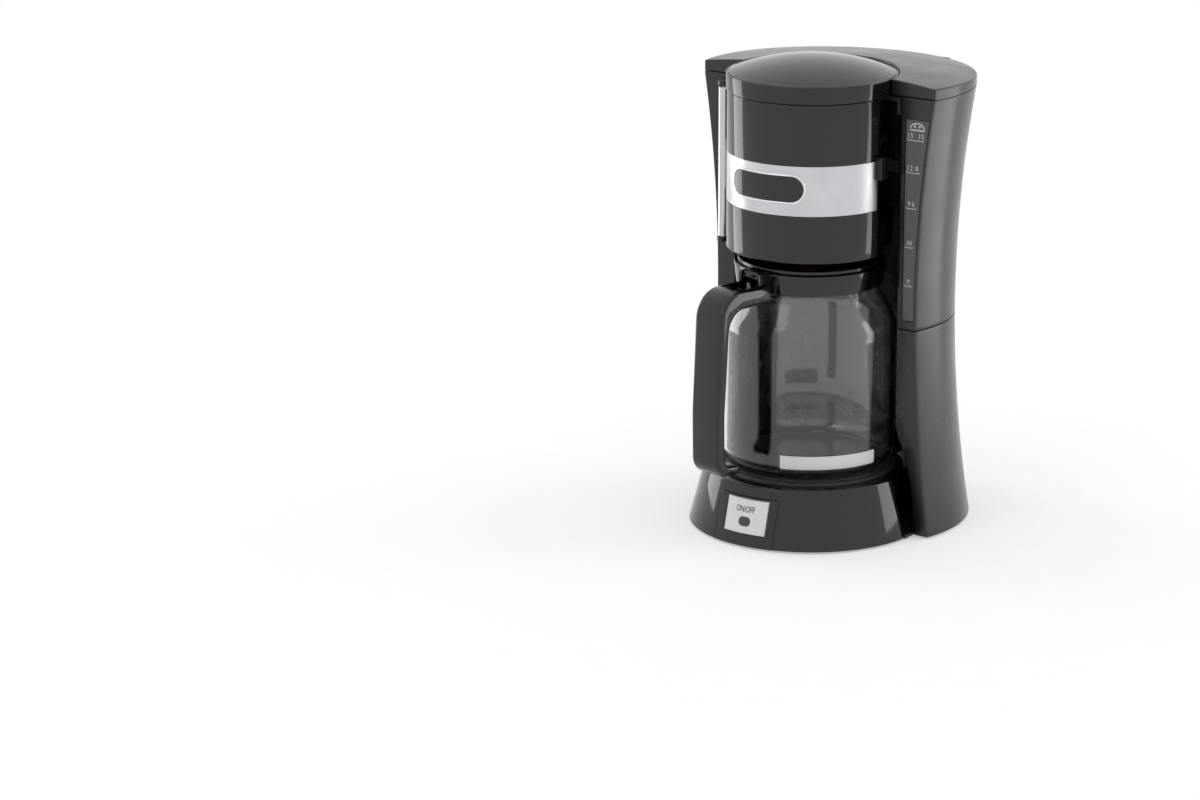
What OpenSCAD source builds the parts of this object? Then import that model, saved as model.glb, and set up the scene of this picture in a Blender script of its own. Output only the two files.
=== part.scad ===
// Drip coffee maker with a glass carafe, a swing-out filter door and a C-shaped water tank.
// The frame: +Z up, +X to the viewer's right when facing the front, the front towards -Y.
// The origin is on the resting plane, on the axis that the carafe, filter and brew cap share.

/* [Body] */
// Height of the upper housing's top edge above the resting plane
body_h = 320; // [300:1:340]
// Distance of the column's own axis behind the brew axis
column_y = 32; // [28:1:36]
// Radius of the column at its narrow waist
waist_r = 88; // [86:0.5:96]
// Height of the waist
waist_z = 165; // [150:1:180]
// Radius of the hourglass curve of the column's side
flare_r = 1000; // [800:10:1400]
// Distance of the flat wing faces behind the brew axis
wing_y = 7; // [4:0.5:10]
// Wall thickness of the housings
wall = 2.5; // [2:0.1:3]
// Height of the seam between the lower and upper housings
split_z = 152; // [146:1:158]

/* [Bay] */
// Room between the filter door and the bay wall
bay_gap = 9.9; // [8:0.1:13]
// Radius of the bay at its flared foot
bay_foot = 87.5; // [86:0.5:89]

/* [Base] */
// Height of the base rim
rim_z = 44; // [40:1:46]
// Radius of the base at its rim
rim_r = 74.6; // [73:0.2:77]
// Radius of the base at its foot
foot_r = 86; // [82:0.5:90]
// Width of the switch fascia
fascia_w = 52; // [46:1:58]
// Width of the power button
button_w = 34; // [28:1:36]
// Height of the power button
button_h = 24; // [20:1:26]

/* [Brewing head] */
// Outer radius of the filter door
door_r = 60.1; // [58:0.1:61]
// Height of the door's lower edge
door_z = 205.4; // [204:0.2:208]
// Lower edge of the silver band
band_z = 239.5; // [236:0.5:243]
// Height of the silver band
band_h = 36; // [30:1:40]
// Radius of the brew cap
cap_r = 61.2; // [60.8:0.1:62]
// Rise of the brew cap's crown above the housing's top edge
cap_rise = 23; // [18:0.5:26]
// Distance of the door hinge outside the door
hinge_out = 6.4; // [6:0.1:6.8]
// Y of the door hinge
hinge_y = -11.5; // [-13:0.1:-11]

/* [Tank lid] */
// Height of the tank lid's crown above its underside
lid_crown = 14.1; // [13:0.1:15]
// Radius of the ball that shapes the crown
lid_ball = 725; // [600:25:900]
// Y of the crown's highest point
lid_crown_y = 16; // [10:1:20]

/* [Carafe] */
// Outer radius of the carafe glass
glass_r = 62.4; // [60:0.2:64]
// Outer radius of the glass neck
neck_r = 50; // [48:0.5:51]
// Wall of the glass
glass_t = 2.4; // [2:0.1:3]
// Turn of the handle away from the front, towards -X
handle_turn = 10; // [0:1:20]
// Width of the handle
handle_w = 26; // [22:1:28]
// Reach of the handle from the brew axis
handle_reach = 107.5; // [104:0.5:110]
// Thickness of the handle's grip
handle_t = 8.5; // [8:0.5:11]

/* [Clearances] */
// Gap between neighbouring housings
seam = 0.6; // [0.4:0.1:0.8]
// Gap around a turning pin
pin_gap = 0.15; // [0.1:0.05:0.2]

/* [Hidden] */
$fn = 96;
big = 400;
foot_z = 1.5;
plate_t = 2.5;
top_z = body_h;
bay_r = door_r + bay_gap;
flare = bay_foot - bay_r;
hinge_x = -door_r - hinge_out;
// Warming plate and heater stack, from the glass downwards
plate_z = rim_z + 2.9;
glass_z = plate_z + 0.3;
plate_r = 60;
spreader_z = rim_z - 5;
tube_r = 5;
tube_z = spreader_z - tube_r - 0.1;
tube_x = 38;
// Water lines in the column
hose_y = 85;
hose_r = 6.5;
hose_bore = tube_r + 0.1;
bend_r = 12;
riser_r = 5;
riser_turn = atan2(tube_x, hose_y);
riser_out = norm([tube_x, hose_y]);
spray_z = top_z - 17;
// Tank
tank_gap = 4;
tank_t = 2;
tank_z = split_z + 4.5;
tank_top = top_z - 5;
// Deck and shower head
deck_t = 3;
deck_z = top_z - 0.6;
head_z = top_z - 27;
head_r = 32;
// Door and holder
door_t = 2.5;
door_top = top_z - 1;
door_sweep = 84;
ledge_z = door_z + 4.6;
ledge_r = door_r - 14.1;
holder_z = ledge_z + 3.5;
holder_top = top_z - 32;
holder_r = door_r - door_t - 1.8;
valve_tip = ledge_z + 1;
barrel_r = 4.5;
pin_r = 1.6;
// Tank lid hinge
lid_z = top_z + 0.4;
lid_pin_y = column_y + 102;
lid_pin_z = top_z + 0.2;
knuckle_r = 3.5;
// Carafe
collar_top = door_z - 10.4;
collar_z = collar_top - 15;
lid_r = 52;
lid_top = collar_top + 3.3;
lid_pin_reach = 59.5;
lid_pin_h = collar_top - 2.5;
screw_h = collar_z + 0.5;
knob_top = collar_top + 9.5;

// ---------- shared shapes ----------

// Flat outline of the column's side at one height, as a solid profile to turn about its axis
module column_profile(inset, z0, z1) {
    difference() {
        translate([0, z0]) square([waist_r + 60, z1 - z0]);
        translate([waist_r + flare_r - inset, waist_z]) circle(r = flare_r, $fn = 360);
    }
}

// The bay: a round room about the brew axis whose foot flares out round the base
module bay_space(grow) {
    foot = [[0, -5], [bay_foot + 0.5 + grow, -5], [bay_foot + grow, 2],
        [bay_r + flare * 0.8 + grow, 34], [bay_r + flare * 0.457 + grow, 60],
        [bay_r + grow, 76], [bay_r + grow, top_z + 5], [0, top_z + 5]];
    rotate_extrude() polygon(foot);
}

// The column between two heights, drawn in from its true faces by inset
module column_body(inset, z0, z1) {
    difference() {
        intersection() {
            translate([0, column_y, 0]) rotate_extrude() column_profile(inset, z0, z1);
            translate([-big / 2, wing_y + inset, z0 - 1]) cube([big, big, z1 - z0 + 2]);
        }
        bay_space(inset);
    }
}

// A straight round bar along +Y
module bar_y(r, y0, y1, x = 0, z = 0) {
    translate([x, y0, z]) rotate([-90, 0, 0]) cylinder(r = r, h = y1 - y0);
}

// A straight round bar along +X
module bar_x(r, x0, x1, y = 0, z = 0) {
    translate([x0, y, z]) rotate([0, 90, 0]) cylinder(r = r, h = x1 - x0);
}

// A ring about the brew axis
module ring(r_out, r_in, z0, z1) {
    translate([0, 0, z0]) difference() {
        cylinder(r = r_out, h = z1 - z0);
        translate([0, 0, -1]) cylinder(r = r_in, h = z1 - z0 + 2);
    }
}

// Everything in front of a plane across Y
module front_of(y) {
    translate([-big / 2, y - big, -10]) cube([big, big, big + 100]);
}

// Everything behind a plane across Y
module behind(y) {
    translate([-big / 2, y, -10]) cube([big, big, big + 100]);
}

// Puts children, drawn with +X as the reach, onto the carafe's handle side
module handle_side() {
    rotate([0, 0, -90 - handle_turn]) children();
}

// A round wire wound about +Z, swept as one closed mesh
module coil(r, wire, height, turns) {
    steps = 14;
    sides = 6;
    count = turns * steps;
    points = [for (i = [0:count], k = [0:sides - 1])
        let (a = 360 * i / steps, b = 360 * k / sides, m = r + wire * cos(b))
        [m * cos(a), m * sin(a), wire + (height - 2 * wire) * i / count + wire * sin(b)]];
    skin = [for (i = [0:count - 1], k = [0:sides - 1])
        let (n = (k + 1) % sides)
        [i * sides + k, i * sides + n, (i + 1) * sides + n, (i + 1) * sides + k]];
    start = [for (k = [0:sides - 1]) sides - 1 - k];
    end = [for (k = [0:sides - 1]) count * sides + k];
    polyhedron(points, concat([start], skin, [end]), convexity = 8);
}

// ---------- base ----------

// Cone that the base's skirt follows, drawn in by inset
module skirt_cone(inset, z0, z1) {
    slope = (foot_r - rim_r) / (rim_z - foot_z);
    translate([0, 0, z0])
        cylinder(r1 = foot_r - (z0 - foot_z) * slope - inset,
            r2 = foot_r - (z1 - foot_z) * slope - inset, h = z1 - z0);
}

// Window in the skirt's front for the fascia
module fascia_window(grow) {
    translate([-fascia_w / 2 - grow, -foot_r - 10, foot_z - 5])
        cube([fascia_w + 2 * grow, 40, rim_z - 8 + 5 + grow]);
}

skirt_y = -4;
core_r = plate_r + 9.5;
module base_housing() {
    color("#17171a") difference() {
        union() {
            intersection() {
                skirt_cone(0, foot_z, rim_z);
                front_of(skirt_y);
            }
            translate([0, 0, foot_z + plate_t + 0.3])
                cylinder(r = core_r, h = rim_z - foot_z - plate_t - 0.3);
        }
        intersection() {
            skirt_cone(wall, foot_z - 1, rim_z - wall);
            front_of(skirt_y - wall);
        }
        translate([0, 0, -1]) cylinder(r = core_r - wall, h = rim_z - wall + 1);
        translate([0, 0, rim_z - 10]) cylinder(r = plate_r + 1.3, h = 20);
        fascia_window(0.3);
        translate([0, 0, foot_z - 1]) linear_extrude(plate_t + 1.2) bottom_outline(0.4);
        translate([-tube_x - 9, 45, -1]) cube([2 * tube_x + 18, 35, rim_z - wall + 0.5]);
    }
}

// Outline of the bottom cover, grown by g
module bottom_outline(g) {
    intersection() {
        translate([0, column_y]) circle(r = waist_r + 9.4 + g);
        translate([-big / 2, wing_y + 3.2 - g]) square([big, big]);
    }
    intersection() {
        circle(r = bay_foot - 1 + g);
        translate([-big / 2, skirt_y - g]) square([big, wing_y + 6 - skirt_y + g]);
    }
    intersection() {
        circle(r = foot_r - 5 + g);
        translate([-big / 2, -big]) square([big, big + skirt_y + 1]);
    }
}

feet = [[-66, 74], [66, 74], [-48, -44], [48, -44]];
screws = [[-80, 48], [80, 48], [-38, 117], [38, 117]];
module bottom_plate() {
    color("#1c1c1e") difference() {
        translate([0, 0, foot_z]) linear_extrude(plate_t) bottom_outline(0);
        for (p = feet) translate([p[0], p[1], -1]) cylinder(r = 3.1, h = 10);
        for (p = screws) translate([p[0], p[1], -1]) cylinder(r = 1.9, h = 10);
        for (p = screws) translate([p[0], p[1], -1]) cylinder(r = 3.6, h = 1 + foot_z + 1.3);
        for (x = [-30:12:30]) translate([x - 2, -20, -1]) cube([4, 40, 10]);
    }
}

module rubber_feet() {
    color("#2a2a2a") for (p = feet) translate([p[0], p[1], 0]) {
        cylinder(r1 = 7.5, r2 = 8, h = foot_z);
        cylinder(r = 3, h = foot_z + plate_t);
        translate([0, 0, foot_z + plate_t]) cylinder(r1 = 4, r2 = 2.4, h = 2.5);
    }
}

module bottom_screws() {
    color("#9a9ca0") for (p = screws) translate([p[0], p[1], foot_z]) {
        difference() {
            cylinder(r = 3.4, h = 1.3);
            for (a = [0, 90]) rotate([0, 0, a]) translate([-2, -0.45, -1]) cube([4, 0.9, 1.6]);
        }
        cylinder(r = 1.6, h = 14);
    }
}

button_z = 10.4;
module button_hole(grow) {
    translate([-button_w / 2 - grow, -foot_r - 10, button_z - grow])
        cube([button_w + 2 * grow, 40, button_h + 2 * grow]);
}

module switch_fascia() {
    color("#19191c") difference() {
        intersection() {
            difference() {
                skirt_cone(0, foot_z, rim_z);
                skirt_cone(wall, foot_z - 1, rim_z + 1);
            }
            fascia_window(0);
        }
        button_hole(0.5);
    }
}

window_z = button_z + 8.5;
module window_shape(grow) {
    for (s = [-1, 1]) bar_y(3.2 + grow, -foot_r - 10, -60, 1.6 * s, window_z);
    translate([-1.6, -foot_r - 10, window_z - 3.2 - grow])
        cube([3.2, foot_r - 50, 6.4 + 2 * grow]);
}

button_back = -70;
module power_button() {
    color("#d9dadc") difference() {
        union() {
            intersection() {
                skirt_cone(-1, foot_z, rim_z);
                button_hole(0);
                front_of(button_back);
            }
            bar_y(3, button_back - 2, button_back + 6, 0, button_z + 17);
        }
        difference() {
            window_shape(0.1);
            behind(button_back - 3);
        }
    }
}

module pilot_window() {
    color("#3b4046") intersection() {
        window_shape(0);
        skirt_cone(-0.9, foot_z, rim_z);
        front_of(button_back - 3);
    }
}

module pilot_lamp() {
    color("#d8742c") bar_y(2.4, -65.5, -60, 0, window_z);
}

module switch_module() {
    color("#26262a") difference() {
        union() {
            translate([-12, -60, 11]) cube([24, 15, 21]);
            translate([-20, -60, 6]) cube([40, 2, 30]);
            for (x = [-6, 4]) translate([x, -45, 20]) cube([2, 5, 5]);
        }
        bar_y(3.4, -61, -56, 0, button_z + 17);
    }
}

module switch_spring() {
    color("#b9bcc0") translate([0, -60.2, button_z + 17]) rotate([90, 0, 0])
        coil(4.4, 0.4, -button_back - 60.4, 4);
}

// ---------- heater ----------

studs = [[-15, 0], [15, 0]];
module warming_plate() {
    color("#3a3a3c") {
        translate([0, 0, plate_z - 2]) cylinder(r = plate_r, h = 2);
        ring(plate_r, plate_r - 1.5, rim_z - 3, plate_z - 1);
    }
}

module plate_seal() {
    color("#202022") rotate_extrude() polygon([[plate_r + 0.1, rim_z - 3], [plate_r + 1.2, rim_z - 3],
        [plate_r + 1.2, rim_z], [plate_r + 4, rim_z], [plate_r + 3, rim_z + 1.4],
        [plate_r + 0.1, rim_z + 1.8]]);
}

module heat_spreader() {
    color("#a9abae") {
        translate([0, 0, spreader_z]) cylinder(r = 50, h = plate_z - 2 - spreader_z);
        for (p = studs) translate([p[0], p[1], spreader_z - 15]) cylinder(r = 2, h = 16);
    }
}

module heating_tube() {
    color("#b4b6b8") translate([0, 0, tube_z]) {
        rotate([0, 0, 180]) rotate_extrude(angle = 180) translate([tube_x, 0]) circle(r = tube_r);
        for (s = [-1, 1]) bar_y(tube_r, 0, 64, s * tube_x);
    }
}

clamp_z = tube_z - tube_r - 2;
module heater_clamp() {
    color("#8f9194") difference() {
        translate([-46, -7, clamp_z]) cube([92, 14, 1.9]);
        for (p = studs) translate([p[0], p[1], clamp_z - 1]) cylinder(r = 2.2, h = 4);
    }
}

module clamp_nuts() {
    color("#8f9194") for (p = studs) translate([p[0], p[1], clamp_z - 3]) difference() {
        cylinder(r = 4, h = 3, $fn = 6);
        translate([0, 0, -1]) cylinder(r = 2.05, h = 5);
    }
}

module thermostat() {
    color("#c9c2b4") translate([0, -22, spreader_z]) mirror([0, 0, 1]) {
        cylinder(r = 8, h = 6);
        cylinder(r = 10.5, h = 1.2);
        for (s = [-1, 1]) translate([s * 5 - 0.4, -3, 5]) cube([0.8, 6, 7]);
    }
}

module thermal_fuse() {
    color("#d6d0c2") {
        bar_x(2.2, -9, 9, 22, spreader_z - 2.4);
        bar_x(0.6, -13, 13, 22, spreader_z - 2.4);
    }
}

// ---------- water lines ----------

// Bend from +Y up to +Z, whose lower end is at y0 and height z0
module bend_up(x, y0, z0, r) {
    translate([x, y0, z0 + bend_r]) rotate([90, 0, 90]) rotate([0, 0, -90])
        rotate_extrude(angle = 90) translate([bend_r, 0]) circle(r = r);
}

// Line from the heater's end back into the column and up to z1
module heater_line(x, r, z1) {
    bar_y(r, 57, hose_y - bend_r, x, tube_z);
    bend_up(x, hose_y - bend_r, tube_z, r);
    translate([x, hose_y, tube_z + bend_r]) cylinder(r = r, h = z1 - tube_z - bend_r);
}

valve_z = 96;
module cold_hose() {
    color("#d7d5cf") {
        difference() {
            heater_line(tube_x, hose_r, valve_z);
            heater_line(tube_x, hose_bore, valve_z + 1);
            bar_y(hose_bore, 50, 58, tube_x, tube_z);
        }
        translate([tube_x, hose_y, valve_z + 16]) difference() {
            cylinder(r = hose_r, h = split_z - wall - 1 - valve_z - 16);
            translate([0, 0, -1]) cylinder(r = hose_bore, h = 60);
        }
    }
}

module check_valve() {
    color("#e6e4de") translate([tube_x, hose_y, valve_z]) difference() {
        union() {
            cylinder(r = 8, h = 16);
            translate([0, 0, -8]) cylinder(r = hose_bore - 0.1, h = 32);
        }
        translate([0, 0, -9]) cylinder(r = 3, h = 40);
    }
}

module hot_hose() {
    color("#d7d5cf") difference() {
        heater_line(-tube_x, hose_r, split_z + 8);
        heater_line(-tube_x, hose_bore, split_z + 9);
        bar_y(hose_bore, 50, 58, -tube_x, tube_z);
    }
}

// The rigid riser and its arm to the shower head, drawn with the riser straight behind the axis
module riser_path(r) {
    translate([0, riser_out, split_z - 4]) cylinder(r = r, h = spray_z - bend_r - split_z + 4);
    translate([0, riser_out - bend_r, spray_z - bend_r]) rotate([90, 0, 90])
        rotate_extrude(angle = 90) translate([bend_r, 0]) circle(r = r);
    bar_y(r, 11.5, riser_out - bend_r, 0, spray_z);
}

module riser_tube() {
    color("#e3e1db") rotate([0, 0, riser_turn]) difference() {
        riser_path(riser_r);
        riser_path(riser_r - 1.4);
        translate([0, riser_out, split_z - 6]) cylinder(r = riser_r - 1.4, h = 4);
        bar_y(riser_r - 1.4, 9, 13, 0, spray_z);
    }
}

gland_z = 16;
module wiring() {
    color("#6b4a32") for (x = [-4, 4]) bar_y(1.1, -39.9, column_y + 86, x, gland_z + 6);
    color("#4d7a3a") bar_y(1.1, 20, column_y + 86, 0, gland_z + 3);
}

gland_y = column_y + 99;
module cord_gland() {
    color("#141416") difference() {
        union() {
            bar_y(6, gland_y - 10, gland_y + 4, 0, gland_z);
            bar_y(8.5, gland_y - 10, gland_y - 7.4, 0, gland_z);
            bar_y(9, gland_y + 1.6, gland_y + 4, 0, gland_z);
        }
        bar_y(3.6, gland_y - 12, gland_y + 6, 0, gland_z);
    }
}

// ---------- housings ----------

module lower_housing() {
    color("#151518") difference() {
        union() {
            difference() {
                column_body(0, foot_z, split_z);
                column_body(wall, foot_z - 2, split_z - wall);
            }
            difference() {
                column_body(wall + 0.5, split_z - 1, split_z + 3.5);
                column_body(wall + 2, split_z - 2, split_z + 5);
            }
            for (p = screws) translate([p[0], p[1], foot_z + plate_t + 0.2]) cylinder(r = 5, h = 16);
        }
        for (p = screws) translate([p[0], p[1], 0]) cylinder(r = 1.7, h = 18);
        translate([0, 0, foot_z - 1]) linear_extrude(plate_t + 1.2) bottom_outline(0.4);
        for (s = [-1, 1]) translate([s * tube_x, hose_y, split_z - wall - 5])
            cylinder(r = hose_r + 1, h = 20);
        translate([-tube_x - 9, 50, 4]) cube([2 * tube_x + 18, 48, rim_z - 4]);
        bar_y(6.1, gland_y - 20, gland_y + 20, 0, gland_z);
        bar_y(9.1, gland_y + 1.5, gland_y + 20, 0, gland_z);
    }
}

gauge_x = bay_r + 3.5;
gauge_z0 = split_z + 7;
gauge_z1 = top_z - 15;
// Opening of the water gauge in the right wing's face
module gauge_space(grow, inset, y0, y1) {
    intersection() {
        translate([gauge_x - grow, y0, gauge_z0 - grow])
            cube([60, y1 - y0, gauge_z1 - gauge_z0 + 2 * grow]);
        translate([0, column_y, 0])
            rotate_extrude() column_profile(inset, gauge_z0 - 5, gauge_z1 + 5);
    }
}

body_knuckles = [[-32, -20], [20, 32]];
lid_knuckles = [[-19.6, -9], [9, 19.6]];
latch_z = 262;
module upper_housing() {
    color("#151518") difference() {
        union() {
            difference() {
                column_body(0, split_z + seam, top_z);
                column_body(wall, split_z - 5, top_z + 5);
            }
            for (k = body_knuckles) {
                bar_x(knuckle_r, k[0], k[1], lid_pin_y, lid_pin_z);
                translate([k[0], 0, 0]) rotate([90, 0, 90]) linear_extrude(k[1] - k[0])
                    polygon([[column_y + 93.8, top_z - 14], [column_y + 98, top_z - 14],
                        [lid_pin_y + knuckle_r, lid_pin_z], [column_y + 93.8, top_z - 0.3]]);
            }
            // Lugs that carry the door's pins, below and above its barrel
            for (z = [door_z - 4, door_top + 0.9 - 4]) translate([0, 0, z]) linear_extrude(3.4) {
                translate([hinge_x, hinge_y]) circle(r = barrel_r);
                polygon([[hinge_x - barrel_r, hinge_y], [hinge_x + 3, hinge_y],
                    [-bay_r + 0.2, wing_y + 0.9], [-bay_r - 6, wing_y + 0.9]]);
            }
        }
        gauge_space(0.3, 0.9, wing_y - 2, wing_y + wall + 0.3);
        bar_x(1.6, -40, 40, lid_pin_y, lid_pin_z);
        for (k = lid_knuckles) bar_x(knuckle_r + 0.5, k[0] - 0.4, k[1] + 0.4, lid_pin_y, lid_pin_z);
        translate([hinge_x, hinge_y, door_z - 5]) cylinder(r = pin_r + 0.05, h = 6);
        translate([hinge_x, hinge_y, door_top - 4]) cylinder(r = pin_r + 0.05, h = 6);
        rotate([0, 0, riser_turn]) bar_y(riser_r + 1, 60, riser_out + 5, 0, spray_z);
    }
}

module water_gauge() {
    color("#8d9196") {
        gauge_space(0, 1.2, wing_y + 0.2, wing_y + wall + 0.2);
        gauge_space(1, 3.4, wing_y + wall + 0.1, wing_y + wall + 1.3);
    }
}

// Notch in the tank's bay side where the riser stands
module riser_notch(grow) {
    rotate([0, 0, riser_turn]) translate([-9 - grow, 40, 0])
        cube([18 + 2 * grow, riser_out - 40 + 9 + grow, top_z]);
}

module water_tank() {
    color("#c9cdd2") difference() {
        union() {
            difference() {
                column_body(tank_gap, tank_z, tank_top);
                riser_notch(0);
                difference() {
                    column_body(tank_gap + tank_t, tank_z + tank_t, tank_top + 5);
                    riser_notch(tank_t);
                }
            }
            translate([tube_x, hose_y, split_z - 10]) cylinder(r = hose_bore - 0.1, h = 16);
        }
        translate([tube_x, hose_y, split_z - 12]) cylinder(r = 3.4, h = 40);
    }
}

module outlet_strainer() {
    color("#dfe1e3") translate([tube_x, hose_y, tank_z + tank_t]) difference() {
        union() {
            cylinder(r = 8, h = 1.5);
            cylinder(r = 6, h = 14);
        }
        translate([0, 0, -1]) cylinder(r = 4.6, h = 13.5);
        for (a = [0:60:150]) rotate([0, 0, a]) translate([-10, -0.6, 4]) cube([20, 1.2, 7]);
    }
}

// ---------- tank lid ----------

lid_edge = waist_r + 12;
module lid_dome(inset) {
    intersection() {
        translate([0, column_y, lid_z - 1]) cylinder(r = lid_edge - inset, h = 40);
        translate([0, lid_crown_y, 0]) rotate_extrude() intersection() {
            translate([0, lid_z - 2]) square([lid_edge + 30, 42]);
            translate([0, lid_z + lid_crown - lid_ball - inset]) circle(r = lid_ball, $fn = 720);
        }
    }
}

module tank_lid() {
    color("#151518") difference() {
        union() {
            difference() {
                intersection() {
                    lid_dome(0);
                    translate([-big / 2, wing_y, lid_z]) cube([big, big, 60]);
                }
                difference() {
                    intersection() {
                        lid_dome(wall);
                        translate([-big / 2, wing_y + wall, lid_z - 5]) cube([big, big, 60]);
                    }
                    translate([0, 0, lid_z - 10]) cylinder(r = cap_r + seam + wall, h = 60);
                }
                translate([0, 0, lid_z - 10]) cylinder(r = cap_r + seam, h = 60);
            }
            for (k = lid_knuckles) {
                bar_x(knuckle_r, k[0], k[1], lid_pin_y, lid_pin_z);
                translate([k[0], lid_pin_y - 8, lid_z + 0.2]) cube([k[1] - k[0], 8, 3]);
            }
        }
        bar_x(pin_r + pin_gap, -40, 40, lid_pin_y, lid_pin_z);
        for (k = body_knuckles) bar_x(knuckle_r + 0.5, k[0] - 0.4, k[1] + 0.4, lid_pin_y, lid_pin_z);
    }
}

module lid_hinge_pin() {
    color("#b9bcc0") bar_x(pin_r, -32, 32, lid_pin_y, lid_pin_z);
}

// ---------- brewing head ----------

module brew_deck() {
    color("#1a1a1d") difference() {
        union() {
            difference() {
                translate([0, 0, deck_z - 12]) cylinder(r = bay_r - 0.3, h = 12);
                translate([0, 0, deck_z - 13]) cylinder(r = bay_r - 3, h = 13 - deck_t);
            }
            translate([0, 0, deck_z - deck_t]) cylinder(r = bay_r - 1, h = deck_t);
            ring(14, 11, deck_z - 9, deck_z - 1);
        }
        rotate([0, 0, riser_turn]) bar_y(riser_r + 0.6, 20, riser_out, 0, spray_z);
        difference() {
            front_of(wing_y);
            cylinder(r = door_r - door_t - 2.2, h = big);
        }
    }
}

module shower_head() {
    color("#e6e4de") difference() {
        union() {
            translate([0, 0, head_z]) cylinder(r = head_r, h = 2);
            ring(head_r, head_r - 1.6, head_z, head_z + 5);
            translate([0, 0, head_z]) cylinder(r = 10.8, h = deck_z - deck_t - head_z);
        }
        translate([0, 0, head_z + 2]) cylinder(r = 9, h = 40);
        rotate([0, 0, riser_turn]) bar_y(riser_r + 0.2, 6, 40, 0, spray_z);
        for (a = [0:30:330], r = [14, 22, 28]) rotate([0, 0, a + r]) translate([r, 0, head_z - 1])
            cylinder(r = 1, h = 4);
        for (a = [0:60:300]) rotate([0, 0, a]) translate([5, 0, head_z - 1]) cylinder(r = 1, h = 4);
    }
}

cap_ball = (cap_r * cap_r + 144) / 24;
module cap_profile(inset) {
    intersection() {
        translate([0, top_z - 1]) square([cap_r - inset, 60]);
        translate([0, top_z + cap_rise - cap_ball - inset]) circle(r = cap_ball, $fn = 360);
    }
}

module brew_cap() {
    color("#151518") rotate_extrude() difference() {
        intersection() {
            cap_profile(0);
            translate([0, deck_z]) square([cap_r, 60]);
        }
        intersection() {
            cap_profile(wall);
            square([cap_r, big]);
        }
    }
}

// Part of a ring about the brew axis within the door's sweep to each side of the front
module door_sector(r_out, r_in, z0, z1, half) {
    translate([0, 0, z0]) rotate([0, 0, -90 - half]) rotate_extrude(angle = 2 * half)
        translate([r_in, 0]) square([r_out - r_in, z1 - z0]);
}

// Ledge that carries the holder, with the low wall behind the door's foot, as one turned profile
ledge_t = 3;
ledge_h = 22;
module door_ledge() {
    rotate_extrude() polygon([[door_r - 1, ledge_z], [door_r - 1, ledge_z + ledge_h],
        [door_r - door_t - 0.6, ledge_z + ledge_h], [door_r - door_t - 0.6, ledge_z + ledge_t],
        [ledge_r, ledge_z + ledge_t], [ledge_r, ledge_z]]);
}

module filter_door() {
    color("#151518") difference() {
        union() {
            door_sector(door_r, door_r - door_t, door_z, door_top, door_sweep);
            door_ledge();
            // Hinge barrel and its web
            translate([hinge_x, hinge_y, door_z]) cylinder(r = barrel_r, h = door_top - 4 - door_z);
            translate([hinge_x, hinge_y - 3, door_z]) cube([8, 3, door_top - 4 - door_z]);
            // Thickened free edge
            translate([0, 0, door_z + 0.5]) rotate([0, 0, door_sweep - 93]) rotate_extrude(angle = 2.5)
                translate([door_r - door_t - 1.4, 0]) square([3, door_top - door_z - 1]);
        }
        door_sector(door_r + 1, door_r - 0.8, band_z, band_z + band_h, door_sweep - 5);
        for (z = [door_z - 1, door_top - 16]) translate([hinge_x, hinge_y, z])
            cylinder(r = pin_r + pin_gap, h = 14);
    }
}

module door_band() {
    color("#c6c7ca") door_sector(door_r, door_r - 0.7, band_z + 0.1, band_z + band_h - 0.1,
        door_sweep - 5.1);
}

module door_hinge_pins() {
    color("#b9bcc0") for (z = [door_z - 4, door_top - 12]) translate([hinge_x, hinge_y, z])
        cylinder(r = pin_r, h = 12);
}

module door_latch() {
    color("#232326") {
        translate([door_r - 0.25, skirt_y - 4, latch_z]) cube([4.6, 17, 16]);
        translate([door_r + 4, wing_y + 0.2, latch_z + 4]) cube([bay_r - 0.8 - door_r - 4, 1.6, 8]);
    }
}

holder_t = 2;
module holder_profile(inset, z0) {
    polygon([[0, z0], [ledge_r + 1 - inset, z0], [holder_r - 3 - inset, holder_top - 3],
        [holder_r - 3 - inset, holder_top + 5 * sign(inset)], [0, holder_top + 5 * sign(inset)]]);
}

module filter_holder() {
    color("#1d1d20") difference() {
        union() {
            rotate_extrude() difference() {
                holder_profile(0, holder_z);
                holder_profile(holder_t, holder_z + 2.5);
            }
            ring(holder_r, holder_r - 4.5, holder_top - 2.5, holder_top);
        }
        translate([0, 0, holder_z - 1]) cylinder(r = 6, h = 10);
    }
}

module valve_cage() {
    color("#d9d7d1") {
        translate([0, 0, holder_z + 14]) cylinder(r = 11, h = 1.5);
        for (a = [0:120:240]) rotate([0, 0, a]) translate([9.4, 0, holder_z + 2.5])
            cylinder(r = 1.2, h = 12);
    }
}

frame_r = holder_r - 6.2;
module filter_frame() {
    color("#26262a") {
        ring(frame_r, frame_r - 2.2, holder_top - 9, holder_top - 3);
        ring(32.4, 30.4, holder_z + 18, holder_z + 20);
        for (a = [45:90:315]) rotate([0, 0, a]) rotate([90, 0, 0])
            linear_extrude(3, center = true) polygon([[30.6, holder_z + 18], [32.2, holder_z + 18],
                [frame_r - 0.2, holder_top - 8], [frame_r - 2.2, holder_top - 8]]);
    }
}

module filter_mesh() {
    color("#b09a5a") rotate_extrude() polygon([[0, holder_z + 16.6], [28.6, holder_z + 16.6],
        [frame_r - 3.2, holder_top - 9], [frame_r - 3.8, holder_top - 9],
        [28.2, holder_z + 17.4], [0, holder_z + 17.4]]);
}

module drip_valve() {
    color("#c8452e") {
        translate([0, 0, valve_tip]) cylinder(r = 5, h = 1.5);
        translate([0, 0, valve_tip]) cylinder(r = 2.4, h = holder_z - valve_tip + 4);
        translate([0, 0, holder_z + 2.8]) cylinder(r = 7.6, h = 1.6);
    }
}

module drip_spring() {
    color("#b9bcc0") translate([0, 0, holder_z + 4.7]) coil(5, 0.45, 9, 4);
}

// ---------- carafe ----------

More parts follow.
